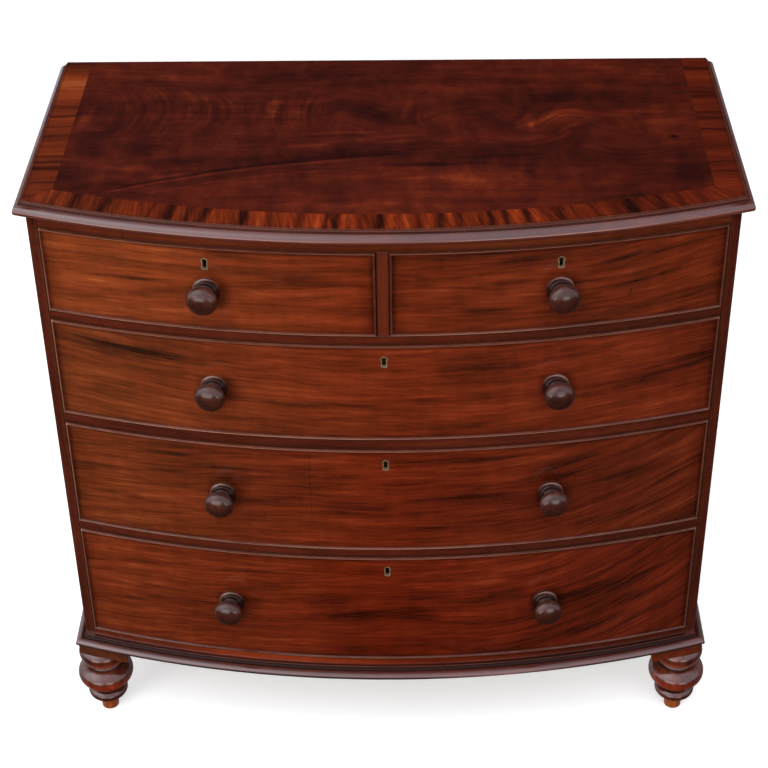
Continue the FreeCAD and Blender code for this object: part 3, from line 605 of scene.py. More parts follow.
def top_veneer():
    s = Surface("mahogany_top_figured")
    flat = s.grain_flat()
    x0, y0, z0 = s.split(flat)
    p = flat
    for (cx, cy, r, a) in ((-.015, .085, .105, 0.75), (.165, .075, .105, 0.85), (.240, .050, .090, -0.9),
                           (.320, -.015, .110, 0.5)):
        p = s.twirl(p, cx, cy, r, a)
    x, y, z = s.split(p)
    wander = s.noise(s.scaled(p, (2.6, 6.0, 5.0), 3), 3.0, 0.5)
    v = s.join(x, s.madd(s.sub(wander, 0.5), 0.055, y), z)
    smoke = s.noise(s.scaled(v, (2.6, 11.0, 5.0), 1), 3.0, 0.5)
    streak = s.noise(s.scaled(v, (5.0, 52.0, 8.0), 2), 2.0, 0.55)
    line = s.noise(s.scaled(v, (9.0, 150.0, 20.0), 5), 2.0, 0.6)
    fine = s.noise(s.scaled(v, (20.0, 400.0, 60.0), 3), 2.0, 0.6)
    flame = s.noise(s.scaled(v, (30.0, 17.0, 8.0), 4), 3.0, 0.6)
    surf = s.join(s.madd(s.sub(flame, 0.5), 0.030, x0), s.madd(s.sub(smoke, 0.5), 0.030, y0), 0.0)
    dark, light = s.blobs(surf, TOP_FIGURE)
    # nested ripples across the grain in the left half
    dy = s.sub(y0, 0.095)
    bend = s.remap(x0, -0.235, -0.185, 3.4, -3.4)
    u = s.add(s.madd(s.mul(dy, dy), bend, x0), s.mul(s.sub(wander, 0.5), 0.05))
    ripple = s.noise(s.scaled(s.join(u, y0, 0.0), (150.0, 7.0, 1.0), 6), 2.0, 0.5)
    place = s.math("MAXIMUM", s.mul(s.blob(flat, -.310, .100, .250, .130), 0.9), s.blob(flat, -.140, .100, .100, .120))
    place = s.math("MAXIMUM", place, s.mul(s.blob(flat, .045, .085, .050, .070), 0.8))
    curl = s.noise(s.scaled(v, (95.0, 60.0, 8.0), 8), 2.0, 0.55)
    t = tone_sum(s, 0.45, (smoke, 0.66), (streak, 0.36), (line, 0.24), (fine, 0.26), (flame, 0.64), (curl, 0.22))
    t = s.add(t, s.mul(s.mul(s.sub(ripple, 0.5), place), 0.72))
    brk = s.remap(streak, 0.36, 0.64, 0.45, 1.2)
    t = s.sub(t, s.mul(s.mul(dark, brk), 0.42))
    t = s.add(t, s.mul(s.mul(light, brk), 0.48))
    # the long dark line that rises from the left, with a lighter edge beneath it
    wob = s.mul(s.sub(streak, 0.5), 0.006)
    xx = s.mul(x0, x0)
    e = s.add(s.sub(y0, s.madd(x0, 0.0984, s.madd(xx, -0.379, -0.0445))), wob)
    wide = s.remap(x0, -0.36, -0.02, 0.005, 0.024)
    run = s.mul(s.remap(x0, -0.41, -0.36, smooth=True), s.remap(x0, -0.01, 0.045, 1.0, 0.0, smooth=True))
    line_a = s.mul(s.remap(s.math("DIVIDE", e, wide), 0.0, 1.0, 1.0, 0.0, smooth=True),
                   s.remap(e, -0.0022, 0.0004, smooth=True))
    t = s.sub(t, s.mul(s.mul(line_a, run), 0.27))
    edge = s.mul(s.remap(s.math("ABSOLUTE", s.add(e, 0.0055)), 0.0, 0.0050, 1.0, 0.0, smooth=True),
                 s.remap(x0, -0.10, 0.0, 1.0, 0.0))
    t = s.add(t, s.mul(s.mul(edge, run), 0.20))
    # and the leaf of plainer wood below that
    e2 = s.add(s.sub(y0, s.madd(x0, 0.0306, s.madd(xx, -0.522, -0.0785))), wob)
    run2 = s.mul(s.remap(x0, -0.38, -0.30, smooth=True), s.remap(x0, 0.18, 0.29, 1.0, 0.0, smooth=True))
    leaf = s.mul(s.remap(e2, -0.005, 0.001, 1.0, 0.0, smooth=True), run2)
    t = s.add(t, s.mul(leaf, 0.05))
    edge2 = s.mul(s.remap(s.math("ABSOLUTE", s.add(e2, 0.0030)), 0.0, 0.0034, 1.0, 0.0, smooth=True),
                  s.remap(x0, -0.10, 0.06, 1.0, 0.25))
    t = s.add(t, s.mul(s.mul(edge2, run2), 0.13))
    col = s.ramp(t, TOP_TONES)
    tint = s.ramp(s.remap(x0, -0.46, 0.46), [(0.0, (.50, .54, .58)), (0.5, (.50, .50, .50)), (1.0, (.48, .45, .42))])
    col = s.vmath("MULTIPLY", s.vmath("MULTIPLY", col, tint), (2.0, 2.0, 2.0))
    normal, film, rough, pore = polish(s, v, 2, fine, (0.22, 0.32), 0.06, 0.05)
    dots = s.remap(pore, 0.60, 0.74, 0.0, 0.34)
    col = s.mix(dots, col, lin(26, 8, 6))
    return s.set(col, rough, normal, film, Coat_Weight=0.85, Coat_Roughness=0.08, Coat_IOR=1.9,
                 Specular_IOR_Level=0.0)


# Stripes of the crossbanding: (place along the strip, half width, amount), dark below 0
BAND_FRONT = [
    (-.483, .006, -.35), (-.452, .013, -.60), (-.402, .014, -1.0), (-.330, .005, -.70), (-.302, .010, -1.0),
    (-.272, .010, -.55), (-.250, .011, -.85), (-.194, .011, -1.1), (-.155, .006, -.25), (-.113, .009, -.50),
    (-.078, .005, -.75), (-.063, .008, -.80), (-.030, .007, -.40), (-.003, .011, -.80), (.050, .007, -.60),
    (.080, .007, -.85), (.106, .009, -.50), (.138, .007, -.40), (.151, .006, -.85), (.171, .006, -.75),
    (.201, .006, -1.0), (.250, .008, -.75), (.300, .016, -.35), (.335, .010, -.40), (.356, .014, -1.1),
    (.403, .012, -.70), (.431, .007, -.40), (.465, .011, -.30),
    (-.225, .010, .25), (-.170, .010, .30), (-.090, .007, .50), (-.050, .007, .45), (.012, .009, .65),
    (.033, .007, .40), (.065, .009, .55), (.094, .006, .45), (.163, .005, .35), (.186, .010, .70), (.214, .006, .30),
    (-.360, .020, .15)]
BAND_LEFT = [
    (-.156, .007, -.50), (-.118, .006, -.35), (-.076, .010, -.70), (-.058, .007, -.55), (-.042, .006, -.50),
    (-.011, .004, -.35), (.021, .005, -.40), (.050, .004, -.25), (.084, .008, -.45), (.115, .007, -.40),
    (.262, .024, -.45), (.190, .040, .70), (.150, .030, .30)]
BAND_RIGHT = [
    (-.095, .006, -.35), (-.070, .009, -.40), (.030, .005, -.40), (.066, .010, -.55), (.082, .008, -.40),
    (.136, .010, -.60), (.150, .008, -.35), (.231, .011, -.50), (.200, .030, .40), (-.130, .030, .30),
    (.010, .012, .25), (-.020, .004, -.20)]


def crossband():
    """Short grain runs across each strip; the tone changes along it in stripes."""
    s = Surface("mahogany_crossband")
    n = s.attr("solid", "Fac")
    x, y, z = s.split(s.obj)
    side = s.math("GREATER_THAN", n, 0.5)
    front = s.sub(1.0, side)
    u_f = s.math("DIVIDE", s.mul(x, R_TOP), s.sub(APEX + R_TOP, y))
    w_f = s.sub(y, s.madd(s.mul(x, x), 0.5 / R_TOP, APEX))
    # along the strip and along the grain, for the front strip and for the side strips
    along = s.add(s.mul(u_f, front), s.mul(y, side))
    grain = s.add(s.mul(w_f, front), s.mul(s.add(x, 3.0), side))
    v0 = s.join(grain, along, z)
    wob = s.noise(s.scaled(v0, (26.0, 30.0, 5.0), 5), 3.0, 0.6)
    along2 = s.madd(s.sub(wob, 0.5), 0.013, along)
    v = s.join(grain, s.madd(s.sub(wob, 0.5), 0.006, s.madd(grain, s.mul(front, 0.22), along)), z)
    broad = s.noise(s.scaled(v, (5.0, 34.0, 4.0), 3), 2.0, 0.5)
    thin = s.noise(s.scaled(v, (9.0, 125.0, 4.0), 4), 2.0, 0.6)
    fine = s.noise(s.scaled(v, (22.0, 380.0, 40.0), 6), 2.0, 0.6)
    pick = s.math("GREATER_THAN", x, 0.0)
    bars = s.mul(stripes(s, along2, BAND_FRONT), front)
    bars = s.add(bars, s.mul(stripes(s, along2, BAND_LEFT), s.mul(side, s.sub(1.0, pick))))
    bars = s.add(bars, s.mul(stripes(s, along2, BAND_RIGHT), s.mul(side, pick)))
    t = tone_sum(s, 0.48, (broad, 0.50))
    t = s.add(t, s.mul(s.sub(thin, 0.5), s.madd(side, -0.32, 0.58)))
    t = s.add(t, s.mul(s.sub(fine, 0.5), s.madd(side, -0.26, 0.66)))
    t = s.add(t, s.mul(bars, s.madd(side, 0.08, 0.48)))
    t = s.madd(s.mul(side, s.sub(1.0, pick)), 0.03, t)
    # the leaves of veneer butt together every hand's width
    leaf = s.math("FRACT", s.madd(along, 6.3, 0.31))
    joint = s.remap(s.math("ABSOLUTE", s.sub(leaf, 0.5)), 0.492, 0.498, 0.0, 0.16)
    t = s.sub(t, joint)
    col = s.ramp(t, BAND_TONES)
    tint = s.ramp(s.remap(x, -0.5, 0.5), [(0.0, (.47, .60, .72)), (0.14, (.44, .50, .54)), (0.45, (.52, .52, .50)),
                                          (0.62, (.50, .50, .48)), (0.84, (.38, .36, .40)), (1.0, (.35, .34, .44))])
    col = s.vmath("MULTIPLY", s.vmath("MULTIPLY", col, tint), (2.0, 2.0, 2.0))
    normal, film, rough, pore = polish(s, v, 7, fine, (0.22, 0.32), 0.08, 0.05)
    dots = s.remap(pore, 0.60, 0.74, 0.0, 0.34)
    col = s.mix(dots, col, lin(34, 12, 7))
    # the outer edge is made pale, partly wear and partly painted highlight, with a dark line just inside it
    out = s.sub(s.vmath("LENGTH", s.join(x, s.sub(y, APEX + R_TOP), 0.0), key="Value"), R_TOP + 0.0048)
    rim = s.math("MAXIMUM", out, s.sub(s.math("ABSOLUTE", x), 0.504))
    rim = s.madd(s.sub(wob, 0.5), 0.0006, rim)
    col = s.mix(s.mul(s.remap(rim, -0.0046, -0.0022, smooth=True), 0.42), col, lin(30, 12, 9))
    rubbed = s.mul(s.remap(rim, -0.0016, -0.0008), s.remap(fine, 0.35, 0.6, 0.45, 1.0))
    col = s.mix(s.mul(rubbed, s.madd(side, -0.14, 0.24)), col, lin(160, 96, 74))
    return s.set(col, rough, normal, film, Coat_Weight=0.85, Coat_Roughness=0.09, Coat_IOR=1.9,
                 Specular_IOR_Level=0.0)


def plain_mahogany(name, v_of, seed, tones, base=0.5, smoke_k=0.4, streak_k=0.55, rough=(0.24, 0.36),
                   coat=0.8, coat_rough=0.12, grime_and_shade=0.0, wear=0.0, wave=0.08, worn=lin(150, 82, 50), wear_d=0.006,
                   tint_along_x=None, shade_and_dirt_z=(), shade_and_dirt_x=(), arris=None, foot=None, rub_and_highlight_z=(), rub_and_highlight_x=(), nose=None, under=None):
    s = Surface(name)
    v = v_of(s)
    v = v[0] if isinstance(v, tuple) else v
    smoke = s.noise(s.scaled(v, (2.4, 16.0, 14.0), seed), 3.0, 0.55)
    streak = s.noise(s.scaled(v, (5.5, 80.0, 70.0), seed + 1), 3.0, 0.6)
    fine = s.noise(s.scaled(v, (18.0, 400.0, 300.0), seed + 2), 3.0, 0.6)
    mottle = s.noise(s.scaled(v, (55.0, 22.0, 20.0), seed + 3), 2.0, 0.5)
    t = tone_sum(s, base, (smoke, smoke_k), (streak, streak_k), (fine, 0.40), (mottle, 0.25))
    col = s.ramp(t, tones)
    # a tint along x; on the beads it darkens them to the right as painted shade
    if tint_along_x:
        tint = s.ramp(s.remap(s.split(s.obj)[0], -0.5, 0.5), tint_along_x)
        col = s.vmath("MULTIPLY", s.vmath("MULTIPLY", col, tint), (2.0, 2.0, 2.0))
    normal, film, r, pore = polish(s, v, seed, fine, rough, wave=wave)
    dots = s.remap(pore, 0.58, 0.72, 0.0, 0.40)
    col = s.mix(dots, col, lin(30, 11, 7))
    if grime_and_shade:
        # painted shade in creases and corners, from local occlusion, standing also for dirt
        ao = s.occlusion(0.012)
        col = s.mix(s.remap(ao, 0.30, 0.90, grime_and_shade, 0.0), col, lin(18, 8, 6))
    x, y, z = s.split(s.obj)
    # dark lines at the given places: painted shade, with some dirt, where parts meet
    for axis, lines in ((z, shade_and_dirt_z), (x, shade_and_dirt_x)):
        if lines:
            col = s.mix(s.math("MINIMUM", stripes(s, axis, lines), 0.85), col, lin(16, 7, 5))
    if foot:
        # painted shade with some dirt near the bottom of the part, strongest just below foot[0] and gone by foot[1];
        # the coat is turned down there too
        dirt = s.remap(s.madd(s.sub(smoke, 0.5), 0.003, z), foot[0], foot[1], foot[2], 0.0, smooth=True)
        dirt = s.mul(dirt, s.remap(z, foot[0] - 0.007, foot[0] - 0.004, 0.3, 1.0))
        col = s.mix(dirt, col, lin(16, 7, 5))
        coat = s.madd(dirt, -coat, coat)
    if rub_and_highlight_z:
        # pale lines along the beads: painted highlight, partly rubbed wear, weaker to the right
        lines = s.add(stripes(s, z, rub_and_highlight_z), s.mul(stripes(s, x, rub_and_highlight_x[1:]), s.math("GREATER_THAN", z, rub_and_highlight_x[0])))
        lines = s.mul(lines, s.remap(x, 0.05, 0.46, 1.0, 0.45, smooth=True))
        lines = s.math("MINIMUM", s.mul(lines, s.remap(smoke, 0.35, 0.6, 0.45, 1.2)), 0.85)
        col = s.mix(lines, col, worn)
    if nose:
        # painted highlight: the lower part of the nose is made paler, fading out upwards
        rubbed = s.mul(s.remap(z, nose[0], nose[1], 1.0, 0.0, smooth=True), s.remap(smoke, 0.3, 0.65, 0.6, 1.1))
        col = s.mix(s.mul(rubbed, nose[2]), col, nose[3])
    if arris:
        # a pale line along one arris of a moulding, told by how far it stands out: painted highlight, partly wear
        radius, face, half, at, wide, above, amount, hollow, hollow_wide, hollow_low, hollow_high, hollow_shade = arris
        out = s.sub(s.vmath("LENGTH", s.join(x, s.sub(y, APEX + radius), 0.0), key="Value"), radius + face)
        out = s.math("MAXIMUM", out, s.sub(s.math("ABSOLUTE", x), half))
        line = s.mul(stripes(s, out, [(at, wide, amount)]), s.math("GREATER_THAN", z, above))
        col = s.mix(s.mul(line, s.remap(streak, 0.35, 0.6, 0.5, 1.0)), col, worn)
        # and painted shade, with some dirt, in the hollow below it, which also takes off the shine
        painted_shade = s.mul(stripes(s, out, [(hollow, hollow_wide, hollow_shade)]), s.remap(z, hollow_low, hollow_low + 0.001))
        painted_shade = s.mul(painted_shade, s.remap(z, hollow_high, hollow_high - 0.0008))
        painted_shade = s.math("MINIMUM", painted_shade, 0.92)
        col = s.mix(painted_shade, col, lin(30, 12, 9))
        if under:
            # painted shade on the underside of the nose, with the coat turned down there, less of it around x 0.19
            below = s.remap(s.madd(s.sub(smoke, 0.5), 0.0012, z), under[0], under[1], under[2], 0.0)
            below = s.mul(below, s.sub(1.0, stripes(s, x, [(0.19, 0.13, 0.9)])))
            painted_shade = s.math("MAXIMUM", painted_shade, below)
            col = s.mix(below, col, lin(22, 9, 7))
        coat = s.madd(painted_shade, -coat, coat)
    if wear:
        ao = s.occlusion(wear_d, inside=True)
        rub = s.noise(s.scaled(s.obj, (60.0, 60.0, 60.0), seed + 8), 3.0, 0.6)
        k = s.mul(s.remap(ao, 0.90, 0.60, 0.0, wear), s.remap(rub, 0.35, 0.65, 0.35, 1.0))
        col = s.mix(k, col, worn)
    s.put(s.bsdf, "Coat Weight", coat)
    return s.set(col, r, normal, film, Coat_Roughness=coat_rough, Coat_IOR=1.9, Specular_IOR_Level=0.05)


KNOB_Z = (0.88970, 0.72375, 0.52445, 0.30475)


def knob_wood(seed):
    """Turned knobs: dark, end grain on the face, polished by hands."""
    s = Surface("mahogany_knob_%d" % seed)
    v = s.grain_y()
    smoke = s.noise(s.scaled(v, (14.0, 42.0, 42.0), seed), 3.0, 0.55)
    speck = s.noise(s.scaled(v, (160.0, 700.0, 700.0), seed + 1), 3.0, 0.65)
    ring = s.noise(s.scaled(v, (18.0, 160.0, 160.0), seed + 2), 3.0, 0.6)
    t = tone_sum(s, 0.41, (smoke, 0.7), (ring, 0.5), (speck, 0.7))
    col = s.ramp(t, [(0.0, lin(34, 14, 10)), (0.35, lin(54, 24, 17)), (0.6, lin(72, 34, 24)), (0.85, lin(96, 48, 33)),
                     (1.0, lin(124, 66, 44))])
    # painted shade where the knob's own surfaces close in, from local occlusion
    ao = s.occlusion(0.010)
    col = s.mix(s.remap(ao, 0.25, 0.9, 0.9, 0.0), col, lin(10, 5, 4))
    # painted shade on the neck and the collar, which also get less coat; the collar's rim is left out and given a
    # painted highlight
    y, x, z = s.split(v)
    out = s.sub(y, float(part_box("short_left_knob")[0].y))
    low = s.math("ABSOLUTE", s.sub(z, KNOB_Z[0]))
    for k in KNOB_Z[1:]:
        low = s.math("MINIMUM", low, s.math("ABSOLUTE", s.sub(z, k)))
    reach = s.vmath("LENGTH", s.join(s.sub(s.math("ABSOLUTE", x), 0.247), low, 0.0), key="Value")
    rim = s.mul(s.remap(reach, 0.0168, 0.0186, smooth=True), s.remap(out, 0.0355, 0.0372))
    painted_neck_shade = s.mul(s.remap(out, 0.0185, 0.0215, smooth=True), s.madd(rim, -1.0, 1.0))
    col = s.mix(s.mul(painted_neck_shade, 0.62), col, lin(20, 9, 7))
    # painted highlight on the collar's rim
    col = s.mix(s.mul(rim, s.remap(smoke, 0.3, 0.7, 0.25, 0.60)), col, lin(132, 94, 78))
    normal = s.bump(speck, 0.08, 0.0005)
    film = s.bump(s.noise(s.scaled(s.obj, (70.0, 70.0, 70.0), seed + 3), 2.0, 0.5), 0.16, 0.0007)
    r = s.remap(smoke, 0.3, 0.7, 0.26, 0.40)
    s.put(s.bsdf, "Coat Weight", s.madd(rim, 0.25, s.remap(painted_neck_shade, 0.0, 1.0, 0.42, 0.12)))
    return s.set(col, r, normal, film, Coat_Roughness=0.16, Coat_IOR=1.9, Specular_IOR_Level=0.1)


def foot_wood():
    """Turned feet: rubbed redder on the bulb, bare and worn at the toe."""
    s = Surface("mahogany_turned_foot")
    v = s.grain_z()
    z, x, y = s.split(v)
    smoke = s.noise(s.scaled(v, (7.0, 34.0, 34.0), 3), 3.0, 0.55)
    streak = s.noise(s.scaled(v, (16.0, 150.0, 150.0), 4), 4.0, 0.6)
    fine = s.noise(s.scaled(v, (40.0, 600.0, 600.0), 5), 3.0, 0.6)
    t = tone_sum(s, 0.52, (smoke, 0.8), (streak, 1.2), (fine, 0.6))
    col = s.ramp(t, [(0.0, lin(38, 15, 10)), (0.35, lin(66, 28, 19)), (0.6, lin(92, 40, 25)), (0.85, lin(122, 56, 32)),
                     (1.0, lin(152, 76, 42))])
    # redder bands on the undersides of the bulb and of the top ring
    low = s.mul(s.remap(z, 0.070, 0.092, 1.0, 0.0, smooth=True), s.remap(z, 0.052, 0.060, 0.0, 1.0))
    low2 = s.mul(s.remap(z, 0.120, 0.129, 1.0, 0.0, smooth=True), s.remap(z, 0.1165, 0.1180, 0.0, 1.0))
    low = s.math("MAXIMUM", low, low2)
    col = s.mix(s.mul(low, 0.85), col, s.mix(t, lin(112, 30, 10), lin(206, 74, 30)))
    rim = s.mul(stripes(s, z, [(0.1155, 0.0022, 0.75), (0.0345, 0.0030, 0.30)]), s.remap(streak, 0.35, 0.6, 0.4, 1.0))
    col = s.mix(rim, col, lin(176, 128, 98))
    toe = s.remap(s.add(z, centred(s, smoke, 0.006)), 0.0255, 0.0275, 1.0, 0.0)
    bare = s.ramp(s.add(s.mul(streak, 0.7), s.mul(fine, 0.35)), [(0.25, lin(128, 54, 20)), (0.5, lin(170, 82, 34)),
                                                                  (0.75, lin(208, 124, 60))])
    bare = s.mix(s.remap(z, 0.0, 0.006, 0.55, 0.0), bare, lin(96, 58, 34))
    col = s.mix(toe, col, bare)
    # painted shade where the foot's own surfaces close in, from local occlusion
    ao = s.occlusion(0.014)
    col = s.mix(s.remap(ao, 0.2, 0.8, 0.7, 0.0), col, lin(14, 6, 5))
    normal = s.bump(s.add(fine, s.noise(s.scaled(v, (900.0, 2.0, 2.0), 6), 1.0, 0.5)), 0.10, 0.0005)
    film = s.bump(s.noise(s.scaled(s.obj, (40.0, 40.0, 40.0), 7), 2.0, 0.5), 0.16, 0.0008)
    r = s.remap(toe, 0.0, 1.0, 0.32, 0.6)
    r = s.add(r, centred(s, smoke, 0.12))
    s.put(s.bsdf, "Coat Weight", s.remap(low, 0.0, 1.0, 0.72, 0.34))
    return s.set(col, r, normal, film, Coat_Roughness=0.16, Coat_IOR=1.9, Specular_IOR_Level=0.15)


def softwood(name, seed, tones, grime_and_shade=0.25, rough=(0.62, 0.8), saw=0.0, tell=0.28, joints=()):
    """Bare softwood: late-wood lines, an odd knot, handling dirt."""
    s = Surface(name)
    v, n = s.grain_board()
    a, b, c = s.split(v)
    wander = s.noise(s.scaled(v, (1.6, 5.0, 5.0), seed), 2.0, 0.5)
    sway = s.noise(s.scaled(v, (0.8, 11.0, 11.0), seed + 6), 2.0, 0.5)
    warp = s.add(s.madd(s.sub(wander, 0.5), 0.16, b), s.mul(s.sub(sway, 0.5), 0.05))
    # growth rings cut flat: lines that drift along the board, here close, there wide apart
    ringv = s.add(s.mul(warp, 92.0), s.mul(c, 60.0))
    line = s.math("FRACT", ringv)
    late = s.mul(s.remap(line, 0.25, 0.90, 0.0, 1.0, smooth=True), s.remap(line, 0.90, 1.0, 1.0, 0.0))
    late = s.mul(late, s.remap(sway, 0.35, 0.65, 0.35, 1.0))
    fibre = s.noise(s.scaled(v, (8.0, 420.0, 420.0), seed + 1), 3.0, 0.6)
    cloud = s.noise(s.scaled(v, (3.0, 12.0, 12.0), seed + 2), 3.0, 0.55)
    knot = s.cells(s.scaled(s.join(a, b, 0.0), (2.6, 7.0, 1.0), seed + 3), key="Distance")
    eye = s.remap(knot, 0.045, 0.10, 1.0, 0.0, smooth=True)
    t = tone_sum(s, 0.55, (cloud, 0.5), (fibre, 0.3))
    t = s.sub(t, s.mul(late, 0.22))
    t = s.sub(t, s.mul(eye, 0.5))
    col = s.ramp(t, tones)
    if joints:
        col = s.mix(stripes(s, s.split(s.obj)[0], [(j, 0.0020, 1.4) for j in joints]), col, lin(14, 9, 6))
    board = s.math("FRACT", s.mul(n, 0.618))
    col = s.mix(s.mul(board, tell), col, s.mix(1.0, col, lin(190, 170, 148), "MULTIPLY"))
    dirt = s.noise(s.scaled(s.obj, (5.0, 5.0, 5.0), seed + 4), 4.0, 0.6)
    col = s.mix(s.remap(dirt, 0.52, 0.74, 0.0, grime_and_shade), col, lin(70, 48, 32))
    h = s.add(s.mul(fibre, 0.6), s.mul(late, 0.35))
    if saw:
        marks = s.noise(s.scaled(v, (220.0, 3.0, 3.0), seed + 5), 1.0, 0.5)
        h = s.add(h, s.mul(marks, saw))
    normal = s.bump(h, 0.25, 0.0008)
    r = s.remap(cloud, 0.3, 0.7, rough[0], rough[1])
    return s.set(col, r, normal, Specular_IOR_Level=0.35)


def metal(name, seed, bright, dull, spots, rough, amount=0.5, scale=(160.0, 160.0, 160.0), metallic=1.0):
    s = Surface(name)
    n1 = s.noise(s.scaled(s.obj, scale, seed), 4.0, 0.6)
    n2 = s.noise(s.scaled(s.obj, tuple(k * 4.0 for k in scale), seed + 1), 3.0, 0.6)
    col = s.mix(s.remap(n1, 0.35, 0.65), bright, dull)
    col = s.mix(s.remap(n2, 0.52, 0.68, 0.0, amount), col, spots)
    r = s.remap(n1, 0.3, 0.7, rough[0], rough[1])
    normal = s.bump(n2, 0.12, 0.0002)
    return s.set(col, r, normal, Metallic=metallic)


# ---------------------------------------------------------------- dress the parts
for nm in ("top_crossbanding",):
    mark_boards(nm, across=True)
BOARDS = (["back_boards", "base_moulding", "drawer_runners_and_stops", "dustboards", "bottom_board",
           "centre_partition"]
          + [d + "_" + k for d in DRAWERS for k in ("cockbead", "sides_and_back", "bottom")])
for nm in BOARDS:
    mark_boards(nm)

for i, d in enumerate(DRAWERS):
    give(d + "_front", drawer_front(d, 11 + 3 * i))
    give(d + ("_knob" if d.startswith("short") else "_knobs"), knob_wood(5 + i))
give("top_field_veneer", top_veneer())
give("top_crossbanding", crossband())

# the beads: painted highlight lines along them, painted shade at their foot, in creases and towards the right
bead = plain_mahogany("mahogany_cockbead", lambda s: s.grain_board(), 31, RAIL_TONES, 0.46, 0.3, 0.4,
                      rough=(0.26, 0.36), coat=0.68, coat_rough=0.10, grime_and_shade=0.75, wear=0.08, wave=0.05, worn=lin(204, 144, 116),
                      rub_and_highlight_z=[(0.8246, 0.0011, 0.70), (0.6411, 0.0011, 0.70), (0.4293, 0.0011, 0.70), (0.1990, 0.0011, 0.30)]
                      + [(z, 0.0011, 0.45) for z in (0.9585, 0.8041, 0.6173, 0.4082)],
                      rub_and_highlight_x=(0.0, (-0.4822, 0.0010, 0.40), (0.4822, 0.0010, 0.25)), foot=(0.1996, 0.2012, 0.42),
                      tint_along_x=[(0.0, (.52, .50, .48)), (0.45, (.50, .50, .50)), (0.80, (.42, .39, .40)), (1.0, (.38, .35, .37))])
lining = softwood("drawer_lining_wood", 51, [(0.0, lin(110, 72, 42)), (0.35, lin(158, 112, 70)),
                                             (0.6, lin(184, 138, 92)), (1.0, lin(212, 170, 122))])
metal_old = metal("tarnished_brass", 61, lin(156, 130, 100), lin(122, 104, 78), lin(66, 58, 44), (0.42, 0.56),
                  metallic=0.35)
brass = metal("lock_brass", 63, lin(176, 140, 78), lin(140, 108, 58), lin(84, 64, 38), (0.28, 0.45), 0.3, metallic=0.85)
steel = metal("lock_steel", 65, lin(150, 148, 144), lin(110, 108, 104), lin(70, 54, 42), (0.25, 0.4), 0.35, metallic=0.85)
for d in DRAWERS:
    give(d + "_cockbead", bead)
    give(d + "_sides_and_back", lining)
    give(d + "_bottom", lining)
    give(d + "_lock", brass)
    give(d + "_lock_bolt", steel)
    give(d + "_escutcheon", metal_old)

# arris: a painted highlight along one arris and painted shade in the hollow; under: painted shade below the nose; nose:
# a painted highlight on its lower part
moulding = plain_mahogany("mahogany_base_moulding", lambda s: s.grain_board(), 21, DARK_TONES, 0.56, 0.45, 0.5,
                          (0.26, 0.4), 0.9, 0.12, grime_and_shade=0.85, wave=0.10, worn=lin(164, 112, 96),
                          arris=(1.659, 0.0, 0.500, 0.0020, 0.0009, 0.1780, 0.10,
                                 0.0036, 0.0038, 0.1700, 0.1792, 1.8), under=(0.1690, 0.1704, 0.85),
                          nose=(0.1712, 0.1724, 0.15, lin(186, 134, 122)))
top_edge = plain_mahogany("mahogany_top_board", lambda s: s.grain_flat(), 23, DARK_TONES, 0.58, 0.45, 0.5,
                          (0.26, 0.4), 0.9, 0.12, grime_and_shade=0.50, wave=0.10, worn=lin(164, 112, 96),
                          arris=(1.550, 0.0048, 0.504, 0.0020, 0.0012, 0.9975, 0.18,
                                 0.0032, 0.0026, 0.9920, 0.9982, 0.6), nose=(0.9868, 0.9905, 0.24, lin(168, 88, 64)))
# painted shade with some dirt: a wide band just above each drawer opening and a narrow line just below it
RAIL_EDGES = ([(z, 0.0028, 0.95) for z in (0.823, 0.6395, 0.4277, 0.1974)]
              + [(z, 0.0076, 0.80) for z in (0.961, 0.8066, 0.6198, 0.4107)])
side = plain_mahogany("mahogany_side", lambda s: s.grain_z(), 25, SIDE_TONES, 0.5, 0.6, 0.7)
# dark lines beside the drawer openings: painted shade with some dirt
stile = plain_mahogany("mahogany_stile", lambda s: s.grain_z(), 27, RAIL_TONES, 0.46, 0.5, 0.55, grime_and_shade=0.3, wear=0.12,
                       shade_and_dirt_x=[(-0.4845, 0.0022, 0.8), (0.4845, 0.0022, 0.8)])
muntin = plain_mahogany("mahogany_muntin", lambda s: s.grain_z(), 28, RAIL_TONES, 0.70, 0.4, 0.5, grime_and_shade=0.3,
                        shade_and_dirt_x=[(-0.0091, 0.0024, 0.9), (0.0091, 0.0024, 0.9)])
rail = plain_mahogany("mahogany_rail", lambda s: s.grain_x(bow=True), 29, RAIL_TONES, 0.53, 0.5, 0.6, grime_and_shade=0.35,
                      wear=0.10, shade_and_dirt_z=RAIL_EDGES, tint_along_x=[(0.0, (.50, .50, .52)), (0.2, (.54, .52, .50)), (1.0, (.46, .44, .46))])
# foot: painted shade with some dirt on the rail just above the base moulding
low_rail = plain_mahogany("mahogany_bottom_rail", lambda s: s.grain_x(bow=True), 30, FRONT_TONES, 0.46, 0.5, 0.6,
                          grime_and_shade=0.75, shade_and_dirt_z=RAIL_EDGES, foot=(0.1812, 0.1864, 0.88),
                          tint_along_x=[(0.0, (.36, .37, .42)), (0.14, (.42, .44, .42)), (0.22, (.76, .72, .56)), (0.36, (.76, .70, .50)),
                                  (0.56, (.48, .36, .30)), (0.76, (.38, .34, .36)), (1.0, (.26, .28, .34))])
top_rail = plain_mahogany("mahogany_top_rail", lambda s: s.grain_x(bow=True), 34, RAIL_TONES, 0.88, 0.5, 0.6, grime_and_shade=0.35,
                          wear=0.10, shade_and_dirt_z=RAIL_EDGES)
block = plain_mahogany("mahogany_foot_block", lambda s: s.grain_x(), 33, FRONT_TONES, 0.42, 0.5, 0.5, (0.4, 0.55), 0.35,
                       0.3, grime_and_shade=0.5, tint_along_x=[(0.0, (.40, .60, .74)), (0.3, (.40, .56, .64)), (0.8, (.48, .52, .46)),
                                               (1.0, (.48, .52, .46))])
